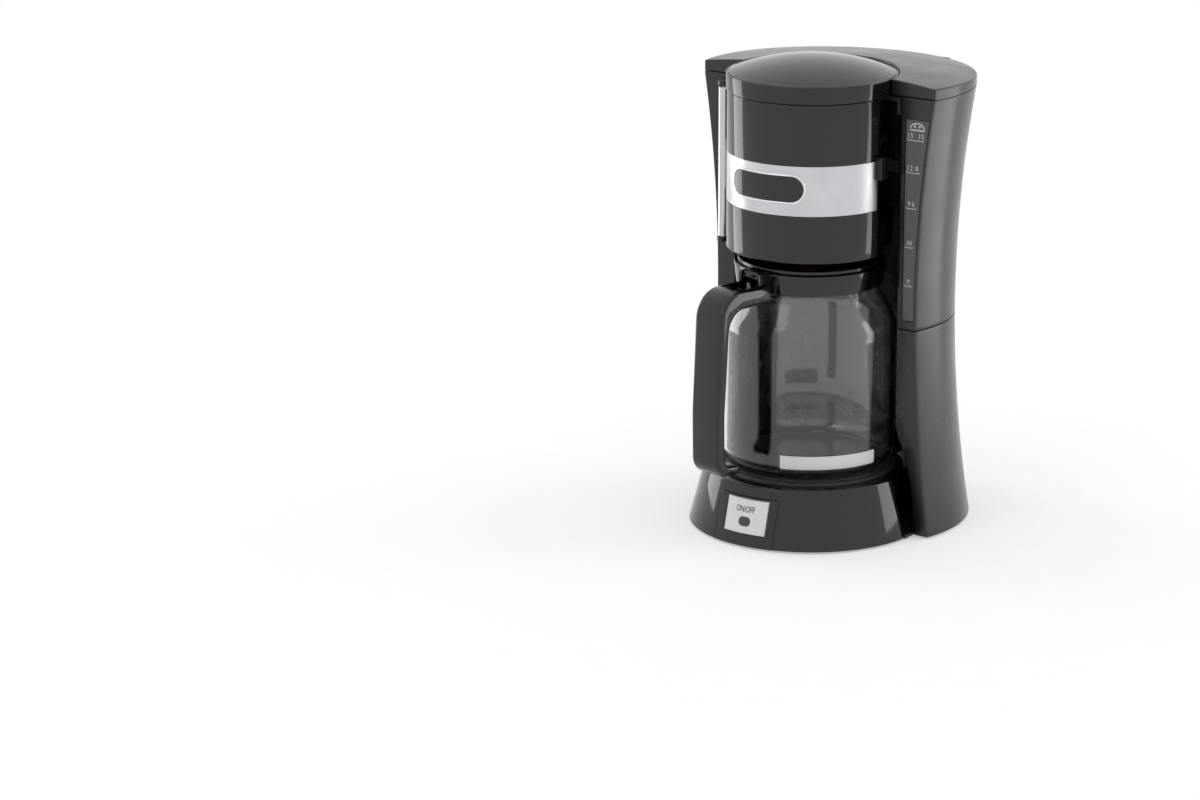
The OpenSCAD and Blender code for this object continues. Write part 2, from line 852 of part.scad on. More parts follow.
// Half outline of the glass, drawn in by o, from the middle of its floor to its mouth
function glass_outline(o) = concat(
    [[0, glass_z + o]],
    [for (a = [-90:15:0]) [glass_r - 12 + (12 - o) * cos(a), glass_z + 12 + (12 - o) * sin(a)]],
    [for (t = [0:0.1:1]) [neck_r - o + (glass_r - neck_r) * (1 + cos(180 * t)) / 2,
        collar_z - 32 * (1 - t)]],
    [[neck_r - o, collar_top - 3], [0, collar_top - 3]]);

module carafe_glass() {
    color("#cfd6d8", 0.5) rotate_extrude() difference() {
        polygon(glass_outline(0));
        polygon(concat(glass_outline(glass_t), [[0, collar_top]]));
        translate([0, collar_top - 4]) square([neck_r - glass_t, 5]);
    }
}

module carafe_collar() {
    color("#151518") difference() {
        union() {
            rotate_extrude() polygon([[neck_r + 0.2, collar_z], [neck_r + 3, collar_z],
                [neck_r + 4.6, collar_top], [neck_r + 0.2, collar_top]]);
            // Pouring lip, on the far side from the handle
            handle_side() translate([-neck_r - 1.5, 0, collar_top - 9]) cylinder(r1 = 5, r2 = 9, h = 9);
            handle_side() for (s = [-1, 1]) translate([neck_r + 2.8, s * 8.6 - 1.4, collar_top - 9])
                cube([lid_pin_reach + 4 - neck_r - 2.8, 2.8, 10]);
        }
        handle_side() translate([-neck_r - 1.5, 0, collar_top - 9.1]) cylinder(r1 = 3, r2 = 7.2, h = 9.2);
        translate([0, 0, collar_z - 1]) cylinder(r = neck_r + 0.2, h = 30);
        handle_side() bar_y(1.55, -12, 12, lid_pin_reach, lid_pin_h);
    }
}

// Side view of the handle: outer edge then inner edge, as reach and height
grip_z = 100;
function handle_outline() = let (r = handle_reach, t = handle_t) concat(
    [[neck_r + 3.4, collar_z + 7], [78, collar_z + 8]],
    [for (a = [80:-20:0]) [r - 26 + 22 * cos(a) - 1, collar_z - 14 + 22 * sin(a)]],
    [[r, grip_z], [r, 70]],
    [for (a = [-15:-25:-90]) [r - 14 + 14 * cos(a), 68 + 14 * sin(a)]],
    [[84, 55], [83, 60], [88, 62]],
    [[r - t - 2, 68], [r - t, 76], [r - t, grip_z], [r - t - 4.5, collar_z - 30]],
    [for (a = [10:20:90]) [r - 29.5 + 16 * cos(a), collar_z - 22 + 16 * sin(a)]],
    [[60, collar_z - 4.5], [neck_r + 3.4, collar_z - 6]]);

module carafe_handle() {
    color("#151518") handle_side() difference() {
        rotate([90, 0, 0]) linear_extrude(handle_w, center = true) polygon(handle_outline());
        cylinder(r = neck_r + 4.8, h = big);
        translate([lid_pin_reach - 6.7, -11, collar_top - 13]) cube([24, 22, 20]);
        bar_x(2.1, 40, 90, 0, screw_h);
        bar_x(4.2, 72, 140, 0, screw_h);
    }
}

module handle_screw() {
    color("#9a9ca0") handle_side() {
        bar_x(2, neck_r + 5, 74, 0, screw_h);
        bar_x(3.9, 72.4, 75, 0, screw_h);
    }
}

dish_r = 35;
module carafe_lid() {
    color("#222225") difference() {
        union() {
            rotate_extrude() polygon([[12, collar_top - 9], [14.5, collar_top - 9],
                [dish_r, collar_top - 2], [neck_r - glass_t - 3, collar_top - 2],
                [neck_r - glass_t - 2.6, collar_top - 8], [neck_r - glass_t - 0.5, collar_top - 8],
                [neck_r - glass_t - 0.5, collar_top + 0.3], [lid_r, collar_top + 0.3],
                [lid_r, lid_top - 1], [lid_r - 1, lid_top], [dish_r + 1, lid_top],
                [14.5, collar_top - 6], [12, collar_top - 6]]);
            ring(12.2, 10, collar_top - 15, collar_top - 3);
            ring(11, 4.6, collar_top - 16, collar_top - 14);
            handle_side() {
                translate([lid_r - 6, -6.5, collar_top + 0.5]) cube([20, 13, lid_top - collar_top - 0.5]);
                translate([lid_r + 14, 0, collar_top + 0.5]) cylinder(r = 6.5, h = 2.8);
                bar_y(3, -6.5, 6.5, lid_pin_reach, lid_pin_h);
                translate([lid_pin_reach - 2, -6.5, lid_pin_h]) cube([4, 13, 4]);
            }
        }
        handle_side() bar_y(1.5 + pin_gap, -12, 12, lid_pin_reach, lid_pin_h);
        for (s = [-1, 1]) handle_side() translate([-lid_r - 3, s * 3 - 1.5, collar_top - 5])
            cube([9, 3, 12]);
    }
}

module carafe_lid_pin() {
    color("#b9bcc0") handle_side() bar_y(1.5, -9.9, 9.9, lid_pin_reach, lid_pin_h);
}

module lid_knob() {
    color("#151518") difference() {
        union() {
            translate([0, 0, knob_top - 9]) sphere(r = 9);
            translate([0, 0, collar_top - 6]) cylinder(r = 9, h = knob_top - 9 - collar_top + 6);
            translate([0, 0, collar_top - 18]) cylinder(r = 4, h = 14);
            translate([0, 0, collar_top - 19.5]) cylinder(r = 7, h = 3);
        }
        translate([0, 0, collar_top - 30]) cylinder(r = 1.5, h = 60);
    }
}

module knob_spring() {
    color("#b9bcc0") translate([0, 0, collar_top - 13.9]) coil(6.6, 0.45, 7.4, 3);
}

base_housing();
bottom_plate();
rubber_feet();
bottom_screws();
switch_fascia();
power_button();
pilot_window();
pilot_lamp();
switch_module();
switch_spring();
warming_plate();
plate_seal();
heat_spreader();
heating_tube();
heater_clamp();
clamp_nuts();
thermostat();
thermal_fuse();
cold_hose();
check_valve();
hot_hose();
riser_tube();
wiring();
cord_gland();
lower_housing();
upper_housing();
water_gauge();
water_tank();
outlet_strainer();
tank_lid();
lid_hinge_pin();
brew_deck();
shower_head();
brew_cap();
filter_door();
door_band();
door_hinge_pins();
door_latch();
filter_holder();
valve_cage();
filter_frame();
filter_mesh();
drip_valve();
drip_spring();
carafe_glass();
carafe_collar();
carafe_handle();
handle_screw();
carafe_lid();
carafe_lid_pin();
lid_knob();
knob_spring();
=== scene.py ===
import math
import bpy
import bmesh
import numpy as np
from mathutils import Matrix


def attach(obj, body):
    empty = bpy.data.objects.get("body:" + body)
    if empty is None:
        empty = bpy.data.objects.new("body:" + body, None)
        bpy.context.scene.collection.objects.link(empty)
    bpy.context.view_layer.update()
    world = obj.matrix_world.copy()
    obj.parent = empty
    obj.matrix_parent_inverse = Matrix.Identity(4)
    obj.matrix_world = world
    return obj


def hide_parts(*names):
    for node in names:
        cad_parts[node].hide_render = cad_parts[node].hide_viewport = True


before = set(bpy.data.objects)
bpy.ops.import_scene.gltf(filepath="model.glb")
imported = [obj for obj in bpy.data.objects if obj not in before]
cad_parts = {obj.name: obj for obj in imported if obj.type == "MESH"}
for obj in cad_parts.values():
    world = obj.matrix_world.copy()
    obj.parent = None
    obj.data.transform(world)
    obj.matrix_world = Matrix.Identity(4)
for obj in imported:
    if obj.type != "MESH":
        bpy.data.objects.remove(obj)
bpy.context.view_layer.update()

# Drip coffee maker: rounded plastic shells, brushed trim, printed scales and a glass carafe, put on
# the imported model. The pieces' sizes are in millimetres and are turned to metres in one place; the
# camera, the lamps and the floor are placed in metres.
MM = 0.001

# Column: its top, the middle of its round back, waist radius and height, and radius of the flare
BODY_TOP, COLUMN_Y, WAIST_R, WAIST_Z, FLARE_R = 320.0, 32.0, 88.0, 165.0, 1000.0
# Housings: front of the wings, wall, height where they meet, seam between them, and the bay's radius
WING_Y, WALL, SPLIT_Z, SEAM, BAY_R = 7.0, 2.5, 152.0, 0.6, 70.0
# Water gauge: left edge, foot and top of its window
GAUGE_X, GAUGE_LOW, GAUGE_HIGH = 73.5, 159.0, 305.0
# Base: height and radius of its rim, radius and height of its foot
RIM_Z, RIM_R, FOOT_R, FOOT_Z = 44.0, 74.6, 86.0, 1.5
# Filter door: radius, thickness, foot, top, and its left and right ends in degrees from the front
DOOR_R, DOOR_T, DOOR_Z, DOOR_TOP, DOOR_SWEEP, DOOR_END = 60.1, 2.5, 205.4, 319.0, 84.0, 86.4
# Silver band's foot and height, the badge's middle height, and the door's hinge axis
BAND_Z, BAND_H, BADGE_Z, HINGE_X, HINGE_Y = 239.5, 36.0, 258.9, -66.5, -11.5
# Brew cap: radius, top, rise of its crown, and its lower edge
CAP_R, CAP_TOP, CAP_RISE, CAP_LOW = 61.2, 343.0, 12.0, 319.4
# Tank lid: foot, height of the crown, the crown's ball and its middle, and radius of the outer edge
LID_Z, LID_CROWN, LID_BALL, LID_CROWN_Y, LID_R = 320.4, 14.1, 725.0, 16.0, 100.0
# Tank lid's hinge: its axis and its knuckles
PIN_Y, PIN_Z, KNUCKLE_R = 134.0, 320.2, 3.5
# Carafe: its radius, neck, glass, height of its floor, and top of its collar
GLASS_R, NECK_R, GLASS_T, GLASS_Z, COLLAR_TOP = 62.4, 50.0, 2.4, 47.2, 195.0
# Its handle: degrees to the left of the front, and width
HANDLE_TURN, HANDLE_W = 10.0, 26.0
# Power button: foot, width and height
BUTTON_Z, BUTTON_W, BUTTON_H = 10.4, 34.0, 24.0
# Edges sharper than this, in degrees, stay creases
CREASE = 35


# ---------- camera ----------

FRAME_W, FRAME_H, FILM_W = 1200, 800, 36.0          # pixels, pixels, mm


def add_camera():
    """Long lens 2.81 m from the brew axis, 32.75 degrees to the right of the front and 14 above it.

    The camera looks at the target turned so that the target falls right of the frame's middle:
    d is the target's direction through the lens, and turn carries the straight-ahead line onto d,
    as 1 + k + k k / (1 + d z) with k the cross product by v = z x d."""
    azimuth, rise, far, roll = math.radians(32.75), math.radians(14.03), 2.80907, math.radians(-0.64)
    focal = 3907.02                                 # in pixels of the frame
    target, target_x, target_y = np.array([0.0, 0.0, 0.1836]), 808.3, 271.87
    level = np.array([math.sin(azimuth), -math.cos(azimuth), 0.0])
    place = target + far * (math.cos(rise) * level + math.sin(rise) * np.array([0, 0, 1.0]))
    ahead = (target - place) / far
    right = np.array([math.cos(azimuth), math.sin(azimuth), 0.0])
    axes = np.stack([right, np.cross(right, ahead), ahead])
    d = np.array([(target_x - FRAME_W / 2) / focal, (FRAME_H / 2 - target_y) / focal, 1.0])
    d /= np.linalg.norm(d)
    v = np.cross([0, 0, 1.0], d)
    k = np.array([[0, -v[2], v[1]], [v[2], 0, -v[0]], [-v[1], v[0], 0]])
    turn = np.eye(3) + k + k @ k / (1 + d[2])
    c, s = math.cos(roll), math.sin(roll)
    axes = np.array([[c, -s, 0], [s, c, 0], [0, 0, 1.0]]) @ turn @ axes
    lens = bpy.data.cameras.new("camera")
    lens.sensor_width = FILM_W
    lens.lens = focal * FILM_W / FRAME_W
    lens.clip_end = 50.0
    camera = bpy.data.objects.new("camera", lens)
    matrix = np.eye(4)
    matrix[:3, :3] = np.stack([axes[0], axes[1], -axes[2]], 1)
    matrix[:3, 3] = place
    camera.matrix_world = Matrix(matrix.tolist())
    bpy.context.scene.collection.objects.link(camera)
    bpy.context.scene.camera = camera


add_camera()


# ---------- materials ----------

def linear(code):
    """Linear red, green, blue and alpha of an sRGB hex colour: ((c + 0.055) / 1.055) ** 2.4."""
    c = np.array([int(code[i:i + 2], 16) for i in (1, 3, 5)]) / 255
    c = np.where(c <= 0.04045, c / 12.92, ((c + 0.055) / 1.055) ** 2.4)
    return (*c.tolist(), 1.0)


def add(tree, kind, sets=None, links=None):
    """Adds one node: sets are its own settings or input values, and links feed its inputs."""
    node = tree.nodes.new(kind)
    for key, value in (sets or {}).items():
        if isinstance(key, int) or key in node.inputs:
            node.inputs[key].default_value = value
        else:
            setattr(node, key, value)
    for key, socket in (links or {}).items():
        tree.links.new(socket, node.inputs[key])
    return node


def finish(name, tints, rough, blotch_mm, grain_mm, grain_um, stretch=(1, 1, 1), **sockets):
    """One moulded, rolled, cast or painted finish.

    Two close tints are blotched together over blotch_mm, the roughness wanders between two values
    over the same distance, and a grain grain_mm wide and grain_um high stands in the surface.
    stretch turns the grain into lines. sockets are uniform values on the shader itself."""
    made = bpy.data.materials.new(name)
    made.use_nodes = True
    tree = made.node_tree
    shader = tree.nodes["Principled BSDF"]
    place = add(tree, "ShaderNodeTexCoord").outputs["Object"]
    blotch = add(tree, "ShaderNodeTexNoise", {"Scale": 1000 / blotch_mm, "Detail": 3.0},
                 {"Vector": place}).outputs["Fac"]
    lines = add(tree, "ShaderNodeMapping", {"Scale": stretch}, {"Vector": place}).outputs["Vector"]
    grain = add(tree, "ShaderNodeTexNoise", {"Scale": 1000 / grain_mm, "Detail": 2.0},
                {"Vector": lines}).outputs["Fac"]
    tint = add(tree, "ShaderNodeMix", {"data_type": "RGBA", 6: linear(tints[0]), 7: linear(tints[1])},
               {0: blotch})
    wander = add(tree, "ShaderNodeMapRange", {"From Min": 0.3, "From Max": 0.7, "To Min": rough[0],
                                              "To Max": rough[1]}, {"Value": blotch})
    bump = add(tree, "ShaderNodeBump", {"Strength": 1.0, "Distance": grain_um * 1e-6},
               {"Height": grain})
    tree.links.new(tint.outputs[2], shader.inputs["Base Color"])
    tree.links.new(wander.outputs["Result"], shader.inputs["Roughness"])
    tree.links.new(bump.outputs["Normal"], shader.inputs["Normal"])
    for key, value in sockets.items():
        shader.inputs[key.replace("_", " ")].default_value = value
    return made


# ABS from a polished mould: near black, mirror-like, with the slow waviness that moulded walls have
gloss_abs = finish("moulded_gloss_abs", ("#0a0a0b", "#101012"), (0.05, 0.09), 30, 14, 6, IOR=1.53)
# ABS from a finely spark-eroded mould: satin, reflections melt into soft gradients; the grain is
# about 0.1 mm on the real thing and is drawn 0.5 mm wide so that it shows at all
satin_abs = finish("moulded_satin_abs", ("#151517", "#1b1b1e"), (0.22, 0.30), 25, 0.5, 6, IOR=1.53)
# Glass-filled PP of the lid and inner parts: darker sheen, mottled by its fibres
filled_pp = finish("moulded_filled_pp", ("#1a1a1d", "#232326"), (0.34, 0.44), 6, 0.7, 10, IOR=1.49)
# Aluminium trim brushed round the door: lines 0.25 mm apart that run with the band
brushed = finish("brushed_aluminium_trim", ("#b9babd", "#d2d3d6"), (0.26, 0.36), 18, 1.0, 5,
                 stretch=(0.03, 0.03, 4.0), Metallic=1.0)
# ABS sprayed silver: fine flakes under a satin lacquer
silver_paint = finish("silver_sprayed_abs", ("#dddee1", "#e8e9eb"), (0.30, 0.38), 1.2, 0.4, 3,
                      Metallic=0.35, Coat_Weight=0.3, Coat_Roughness=0.2)
# Chrome-plated plastic of the badge's rim: mirror with faint plating ripple
chrome = finish("chrome_plated_abs", ("#d8d9dc", "#e4e5e8"), (0.05, 0.08), 10, 4, 2, Metallic=1.0)
# Smoked polycarbonate of the gauge and the lamp window: grey, clear enough to hint at the inside
smoked_pc = finish("smoked_polycarbonate", ("#55565a", "#606166"), (0.10, 0.16), 20, 12, 3, IOR=1.58,
                   Transmission_Weight=0.35)
lamp_pc = finish("dark_smoked_polycarbonate", ("#3a3d42", "#44474c"), (0.12, 0.18), 5, 2, 3, IOR=1.58,
                 Transmission_Weight=0.25)
# Blown borosilicate: clear, with the long waves that blowing leaves
glass = finish("blown_borosilicate_glass", ("#ffffff", "#fbfdfd"), (0.0, 0.01), 40, 22, 6, IOR=1.47,
               Transmission_Weight=1.0)
# Painted reflection: a matt white band on part of the glass's foot stands in for the white floor and
# lamps that the foot's curve reflects
foot_reflection_paint = finish("glass_foot_painted_reflection", ("#eeeef1", "#f6f6f8"), (0.35, 0.45), 3, 0.6, 4, IOR=1.47,
                Specular_IOR_Level=0.4)
# Pad-printed ink, thin and slightly uneven
white_ink = finish("pad_printed_white_ink", ("#c9cacc", "#dcdde0"), (0.45, 0.55), 2, 0.5, 4)
black_ink = finish("pad_printed_black_ink", ("#131314", "#1c1c1e"), (0.45, 0.55), 2, 0.5, 4)
# PTFE-coated steel of the warming plate: dark, soft sheen, speckled
coated_steel = finish("ptfe_coated_steel", ("#242426", "#303033"), (0.30, 0.42), 1.5, 0.8, 12,
                      Coat_Weight=0.2, Coat_Roughness=0.35)
# Silicone and rubber: matt, faintly dusty
silicone = finish("moulded_silicone", ("#1d1d1f", "#262628"), (0.55, 0.68), 4, 0.6, 8)
valve_silicone = finish("red_silicone", ("#b8402c", "#c64a34"), (0.50, 0.62), 4, 0.6, 6)
rubber = finish("moulded_rubber", ("#232324", "#2d2d2e"), (0.68, 0.80), 3, 0.5, 12)
# Natural PP and silicone hose: milky, lets some light through
natural_pp = finish("natural_polypropylene", ("#dcdad3", "#e6e4de"), (0.32, 0.42), 12, 1.0, 5,
                    IOR=1.49, Transmission_Weight=0.25)
hose = finish("translucent_silicone_hose", ("#d3d1ca", "#dedcd6"), (0.40, 0.52), 9, 0.8, 6, IOR=1.43,
              Transmission_Weight=0.2)
# SAN of the tank: clear with a grey cast
tank_san = finish("clear_grey_san", ("#b9bdc2", "#c6cacf"), (0.10, 0.18), 25, 10, 8, IOR=1.57,
                  Transmission_Weight=0.7)
# Metals inside and on the fasteners
zinc = finish("zinc_plated_steel", ("#a6a8ac", "#bcbec2"), (0.28, 0.42), 2, 0.4, 3, Metallic=1.0)
stainless = finish("bright_stainless_wire", ("#b4b6ba", "#c6c8cc"), (0.16, 0.24), 4, 0.5, 2, Metallic=1.0)
cast_aluminium = finish("die_cast_aluminium", ("#9c9ea1", "#b2b4b7"), (0.42, 0.58), 3, 0.8, 14,
                        Metallic=1.0)
sheathed = finish("drawn_aluminium_tube", ("#a9abae", "#bfc1c4"), (0.25, 0.36), 6, 0.6, 4,
                  stretch=(1, 0.1, 1), Metallic=1.0)
# Gold-tone nylon net of the filter, its threads drawn 0.9 mm apart
net = finish("gold_nylon_net", ("#8f7a3c", "#b59c58"), (0.38, 0.50), 0.9, 0.9, 60)
ceramic = finish("glazed_ceramic", ("#cfc8ba", "#ddd7ca"), (0.30, 0.45), 3, 0.6, 6)
brown_wire = finish("brown_pvc_wire", ("#5e4029", "#6d4b31"), (0.38, 0.48), 5, 0.6, 4)
amber_lens = finish("amber_lamp_lens", ("#c76a24", "#dd8038"), (0.15, 0.25), 3, 0.6, 3,
                    Transmission_Weight=0.3)

NODE_FINISH = {
    "bottom_plate": filled_pp, "rubber_feet": rubber, "bottom_screws": zinc,
    "pilot_lamp": amber_lens, "switch_module": filled_pp, "switch_spring": stainless,
    "warming_plate": coated_steel, "plate_seal": silicone, "heat_spreader": cast_aluminium,
    "heating_tube": sheathed, "heater_clamp": zinc, "clamp_nuts": zinc, "thermostat": ceramic,
    "thermal_fuse": ceramic, "cold_hose": hose, "check_valve": natural_pp, "hot_hose": hose,
    "riser_tube": natural_pp, "wiring": brown_wire, "cord_gland": rubber,
    "water_tank": tank_san, "outlet_strainer": natural_pp, "lid_hinge_pin": zinc,
    "brew_deck": filled_pp, "shower_head": natural_pp, "door_hinge_pins": zinc,
    "door_latch": gloss_abs, "filter_holder": filled_pp, "valve_cage": natural_pp,
    "filter_frame": filled_pp, "filter_mesh": net, "drip_valve": valve_silicone,
    "drip_spring": stainless, "handle_screw": zinc, "carafe_lid_pin": zinc, "lid_knob": gloss_abs,
    "knob_spring": stainless,
}


# ---------- shapes ----------

def quads(rows, cols, wrap_rows=False, wrap_cols=True):
    """Four-sided faces between neighbours of a rows x cols grid of points."""
    i, j = np.meshgrid(np.arange(rows - (not wrap_rows)), np.arange(cols - (not wrap_cols)),
                       indexing="ij")
    i, j = i.ravel(), j.ravel()
    n, m = (i + 1) % rows, (j + 1) % cols
    return np.stack([i * cols + j, i * cols + m, n * cols + m, n * cols + j], 1)


def outward(points, *groups):
    """A form out of its points and groups of faces, each group an array with one face per row: the
    points, the corners of all faces in one row, and how many corners each face has.

    The faces are turned outwards: the volume, the sum of a . (b x c) / 6 over the triangles that
    fan out from each face's first corner, must be positive."""
    volume = sum((points[g[:, :1]] * np.cross(points[g[:, 1:-1]], points[g[:, 2:]])).sum()
                 for g in groups)
    if volume < 0:
        groups = [g[:, ::-1] for g in groups]
    return (points, np.concatenate([g.ravel() for g in groups]),
            np.concatenate([np.full(len(g), g.shape[1]) for g in groups]))


def skin(loops, wrap=False):
    """Closed skin over a stack of loops (rows x points x 3): quads between neighbouring loops, and
    the first and last loop closed, or joined to each other where wrap is true."""
    rows, cols = loops.shape[:2]
    ends = [] if wrap else [np.stack([np.arange(cols)[::-1], (rows - 1) * cols + np.arange(cols)])]
    return outward(loops.reshape(-1, 3), quads(rows, cols, wrap), *ends)


def slab(front, back, rows, cols):
    """Closed skin of a sheet between two grids of points, its front and its back: quads over both,
    and a strip of quads round their edge."""
    n = rows * cols
    face = quads(rows, cols, False, False)
    edge = np.r_[np.arange(cols), np.arange(1, rows) * cols + cols - 1,
                 (rows - 1) * cols + np.arange(cols - 2, -1, -1), np.arange(rows - 2, 0, -1) * cols]
    nxt = np.roll(edge, -1)
    strip = np.stack([edge, nxt, nxt + n, edge + n], 1)
    return outward(np.r_[front, back], face[:, ::-1], face + n, strip)


def arcs(p, u, w, r, steps):
    """Arcs that round the corners p by r, where u and w point along a corner's two sides, about
    p + (u + w) / |u + w| * r / sin(half), and how far down the sides they start."""
    half = np.arccos(np.clip((u * w).sum(1, keepdims=True), -1, 1)) / 2
    mid = p + (u + w) / np.linalg.norm(u + w, axis=1, keepdims=True) * r / np.sin(half)
    a, b = p + u * r / np.tan(half) - mid, p + w * r / np.tan(half) - mid
    turn = np.pi - 2 * half
    t = np.linspace(0, 1, steps)[None, :, None]
    arc = (a[:, None] * np.sin((1 - t) * turn[:, None]) + b[:, None] * np.sin(t * turn[:, None]))
    return mid[:, None] + arc / np.sin(turn)[:, None], r / np.tan(half)


def rounded(corners, steps=6):
    """Closed outline through corners (x, y, radius), each rounded by its arc."""
    c = np.array(corners, float)
    p, r = c[:, :2], np.maximum(c[:, 2:], 1e-3)
    u, w = np.roll(p, 1, 0) - p, np.roll(p, -1, 0) - p
    u /= np.linalg.norm(u, axis=1, keepdims=True)
    w /= np.linalg.norm(w, axis=1, keepdims=True)
    return arcs(p, u, w, r, steps)[0].reshape(-1, 2)


def box(x0, x1, y0, y1, radius, steps=6):
    """Outline of a rectangle with rounded corners."""
    return rounded([(x0, y0, radius), (x1, y0, radius), (x1, y1, radius), (x0, y1, radius)], steps)


def drawn_in(loop, by):
    """A closed outline moved inwards by a distance: each point goes along the normal of the line
    through its two neighbours, and the sign of the outline's area says which way is in."""
    t = np.roll(loop, -1, 0) - np.roll(loop, 1, 0)
    n = np.stack([-t[:, 1], t[:, 0]], 1) / np.maximum(np.linalg.norm(t, axis=1, keepdims=True), 1e-9)
    nxt = np.roll(loop, -1, 0)
    sign = np.sign((loop[:, 0] * nxt[:, 1] - nxt[:, 0] * loop[:, 1]).sum())
    return loop + sign * by * n


QUARTER = np.linspace(0, np.pi / 2, 6)


def soft_ends(low, high, soft):
    """Depths and insets of a bar with quarter-round end edges: depth = low + r (1 - cos q) and
    inset = r (1 - sin q), and the same from the far end."""
    depth = np.r_[low + soft * (1 - np.cos(QUARTER)), high - soft * (1 - np.cos(QUARTER[::-1]))]
    inset = np.r_[soft * (1 - np.sin(QUARTER)), soft * (1 - np.sin(QUARTER[::-1]))]
    return depth, inset


def prism(loop, low, high, soft, place):
    """An outline given depth, its end edges rounded by soft. place(x, y, depth) puts it in space."""
    depths, insets = soft_ends(low, high, soft)
    rows = [drawn_in(loop, i) for i in insets]
    return skin(np.stack([place(r[:, 0], r[:, 1], np.full(len(r), d)) for r, d in zip(rows, depths)]))


def punch(loop, low, high, place):
    """An outline carried straight from one depth to another, to cut a hole with."""
    return skin(np.stack([place(loop[:, 0], loop[:, 1], np.full(len(loop), d)) for d in (low, high)]))


def turned(profile, steps=144):
    """A profile (radius, height) turned a full circle about the brew axis:
    (r cos a, r sin a, z). A profile that starts and ends on the axis makes a solid form."""
    a = np.linspace(0, 2 * np.pi, steps, endpoint=False)[:, None]
    r, z = profile[None, :, 0], profile[None, :, 1]
    return skin(np.stack([r * np.cos(a), r * np.sin(a), z + 0 * a], 2), wrap=True)


def swept(profile, start, end, soft, steps=96):
    """A closed profile (radius, height) carried round the brew axis from one angle to another, in
    degrees from the front with the viewer's right positive, its end edges rounded by soft:
    (r sin a, -r cos a, z)."""
    reach, n = profile[:, 0].mean(), len(QUARTER)
    depth, inset = soft_ends(0, math.radians(end - start) * reach, soft)
    middle = np.linspace(depth[n - 1], depth[n], steps)[1:-1]
    depth = np.r_[depth[:n], middle, depth[n:]]
    inset = np.r_[inset[:n], 0 * middle, inset[n:]]
    loops = []
    for d, i in zip(depth, inset):
        a = math.radians(start) + d / reach
        p = drawn_in(profile, i)
        loops.append(np.stack([p[:, 0] * math.sin(a), -p[:, 0] * math.cos(a), p[:, 1]], 1))
    return skin(np.stack(loops))


def rod(start, end, radius, soft=0.3):
    """A round bar between two points, its end edges rounded by soft: rings of
    start + depth along + radius (side cos a + other sin a)."""
    start, end = np.array(start, float), np.array(end, float)
    along = (end - start) / np.linalg.norm(end - start)
    side = np.cross(along, [0, 0, 1.0] if abs(along[2]) < 0.9 else [1.0, 0, 0])
    side /= np.linalg.norm(side)
    other = np.cross(along, side)
    depth, inset = soft_ends(0, np.linalg.norm(end - start), soft)
    a = np.linspace(0, 2 * np.pi, 40, endpoint=False)
    ring = np.cos(a)[:, None] * side + np.sin(a)[:, None] * other
    return skin(np.stack([start + along * d + ring * (radius - i) for d, i in zip(depth, inset)]))


def plate(width, height, thick, soft, place, cells):
    """A four-sided plate whose front edges are rounded. Its front sits back by
    r - sqrt(r^2 - a^2 - b^2), where a and b are how far a point is inside the rounding of the
    nearest upright and level edge. place(x, z, depth) takes x from 0 to width and z from 0 to
    height and puts the point on the surface that carries the plate."""
    def lines(length, count):
        """Grid lines over a length: count even ones, and a quarter round's own at both ends."""
        edge = soft * (1 - np.cos(QUARTER))
        return np.r_[edge[:-1], np.linspace(edge[-1], length - edge[-1], count), length - edge[::-1][1:]]
    xs, zs = lines(width, cells[0]), lines(height, cells[1])
    x, z = np.meshgrid(xs, zs, indexing="ij")
    a = np.maximum(0, soft - np.minimum(x, width - x))
    b = np.maximum(0, soft - np.minimum(z, height - z))
    depth = soft - np.sqrt(np.maximum(0, soft ** 2 - a ** 2 - b ** 2))
    return slab(place(x.ravel(), z.ravel(), depth.ravel()),
                place(x.ravel(), z.ravel(), np.full(x.size, thick)), *x.shape)


def flat_y(x, z, y):
    """Depth along +Y: the outline lies in an upright plane across the machine."""
    return np.stack([x, y, z], 1)


def lying(x, y, z):
    """Depth along +Z: the outline lies flat."""
    return np.stack([x, y, z], 1)


def upright_x(y, z, x):
    """Depth along +X: the outline lies in an upright plane from front to back."""
    return np.stack([x, y, z], 1)


def on_handle(reach, z, side):
    """Depth across the handle: reach runs out from the brew axis on the handle's side, and
    x = reach cos a - side sin a, y = reach sin a + side cos a."""
    a = math.radians(-90 - HANDLE_TURN)
    return np.stack([reach * math.cos(a) - side * math.sin(a), reach * math.sin(a) + side * math.cos(a),
                     z], 1)


def over_handle(reach, side, z):
    """Depth along +Z: the outline lies flat over the handle."""
    return on_handle(reach, z, side)


def joined(*forms):
    """Several closed forms as one: a form's corners count on from the points before it."""
    points, corners, counts = zip(*forms)
    base = np.cumsum([0] + [len(p) for p in points[:-1]])
    return (np.concatenate(points), np.concatenate([c + b for c, b in zip(corners, base)]),
            np.concatenate(counts))


def shade(mesh, crease):
    """Smooth, but for edges sharper than crease degrees."""
    mesh.polygons.foreach_set("use_smooth", [True] * len(mesh.polygons))
    mesh.set_sharp_from_angle(angle=math.radians(crease))


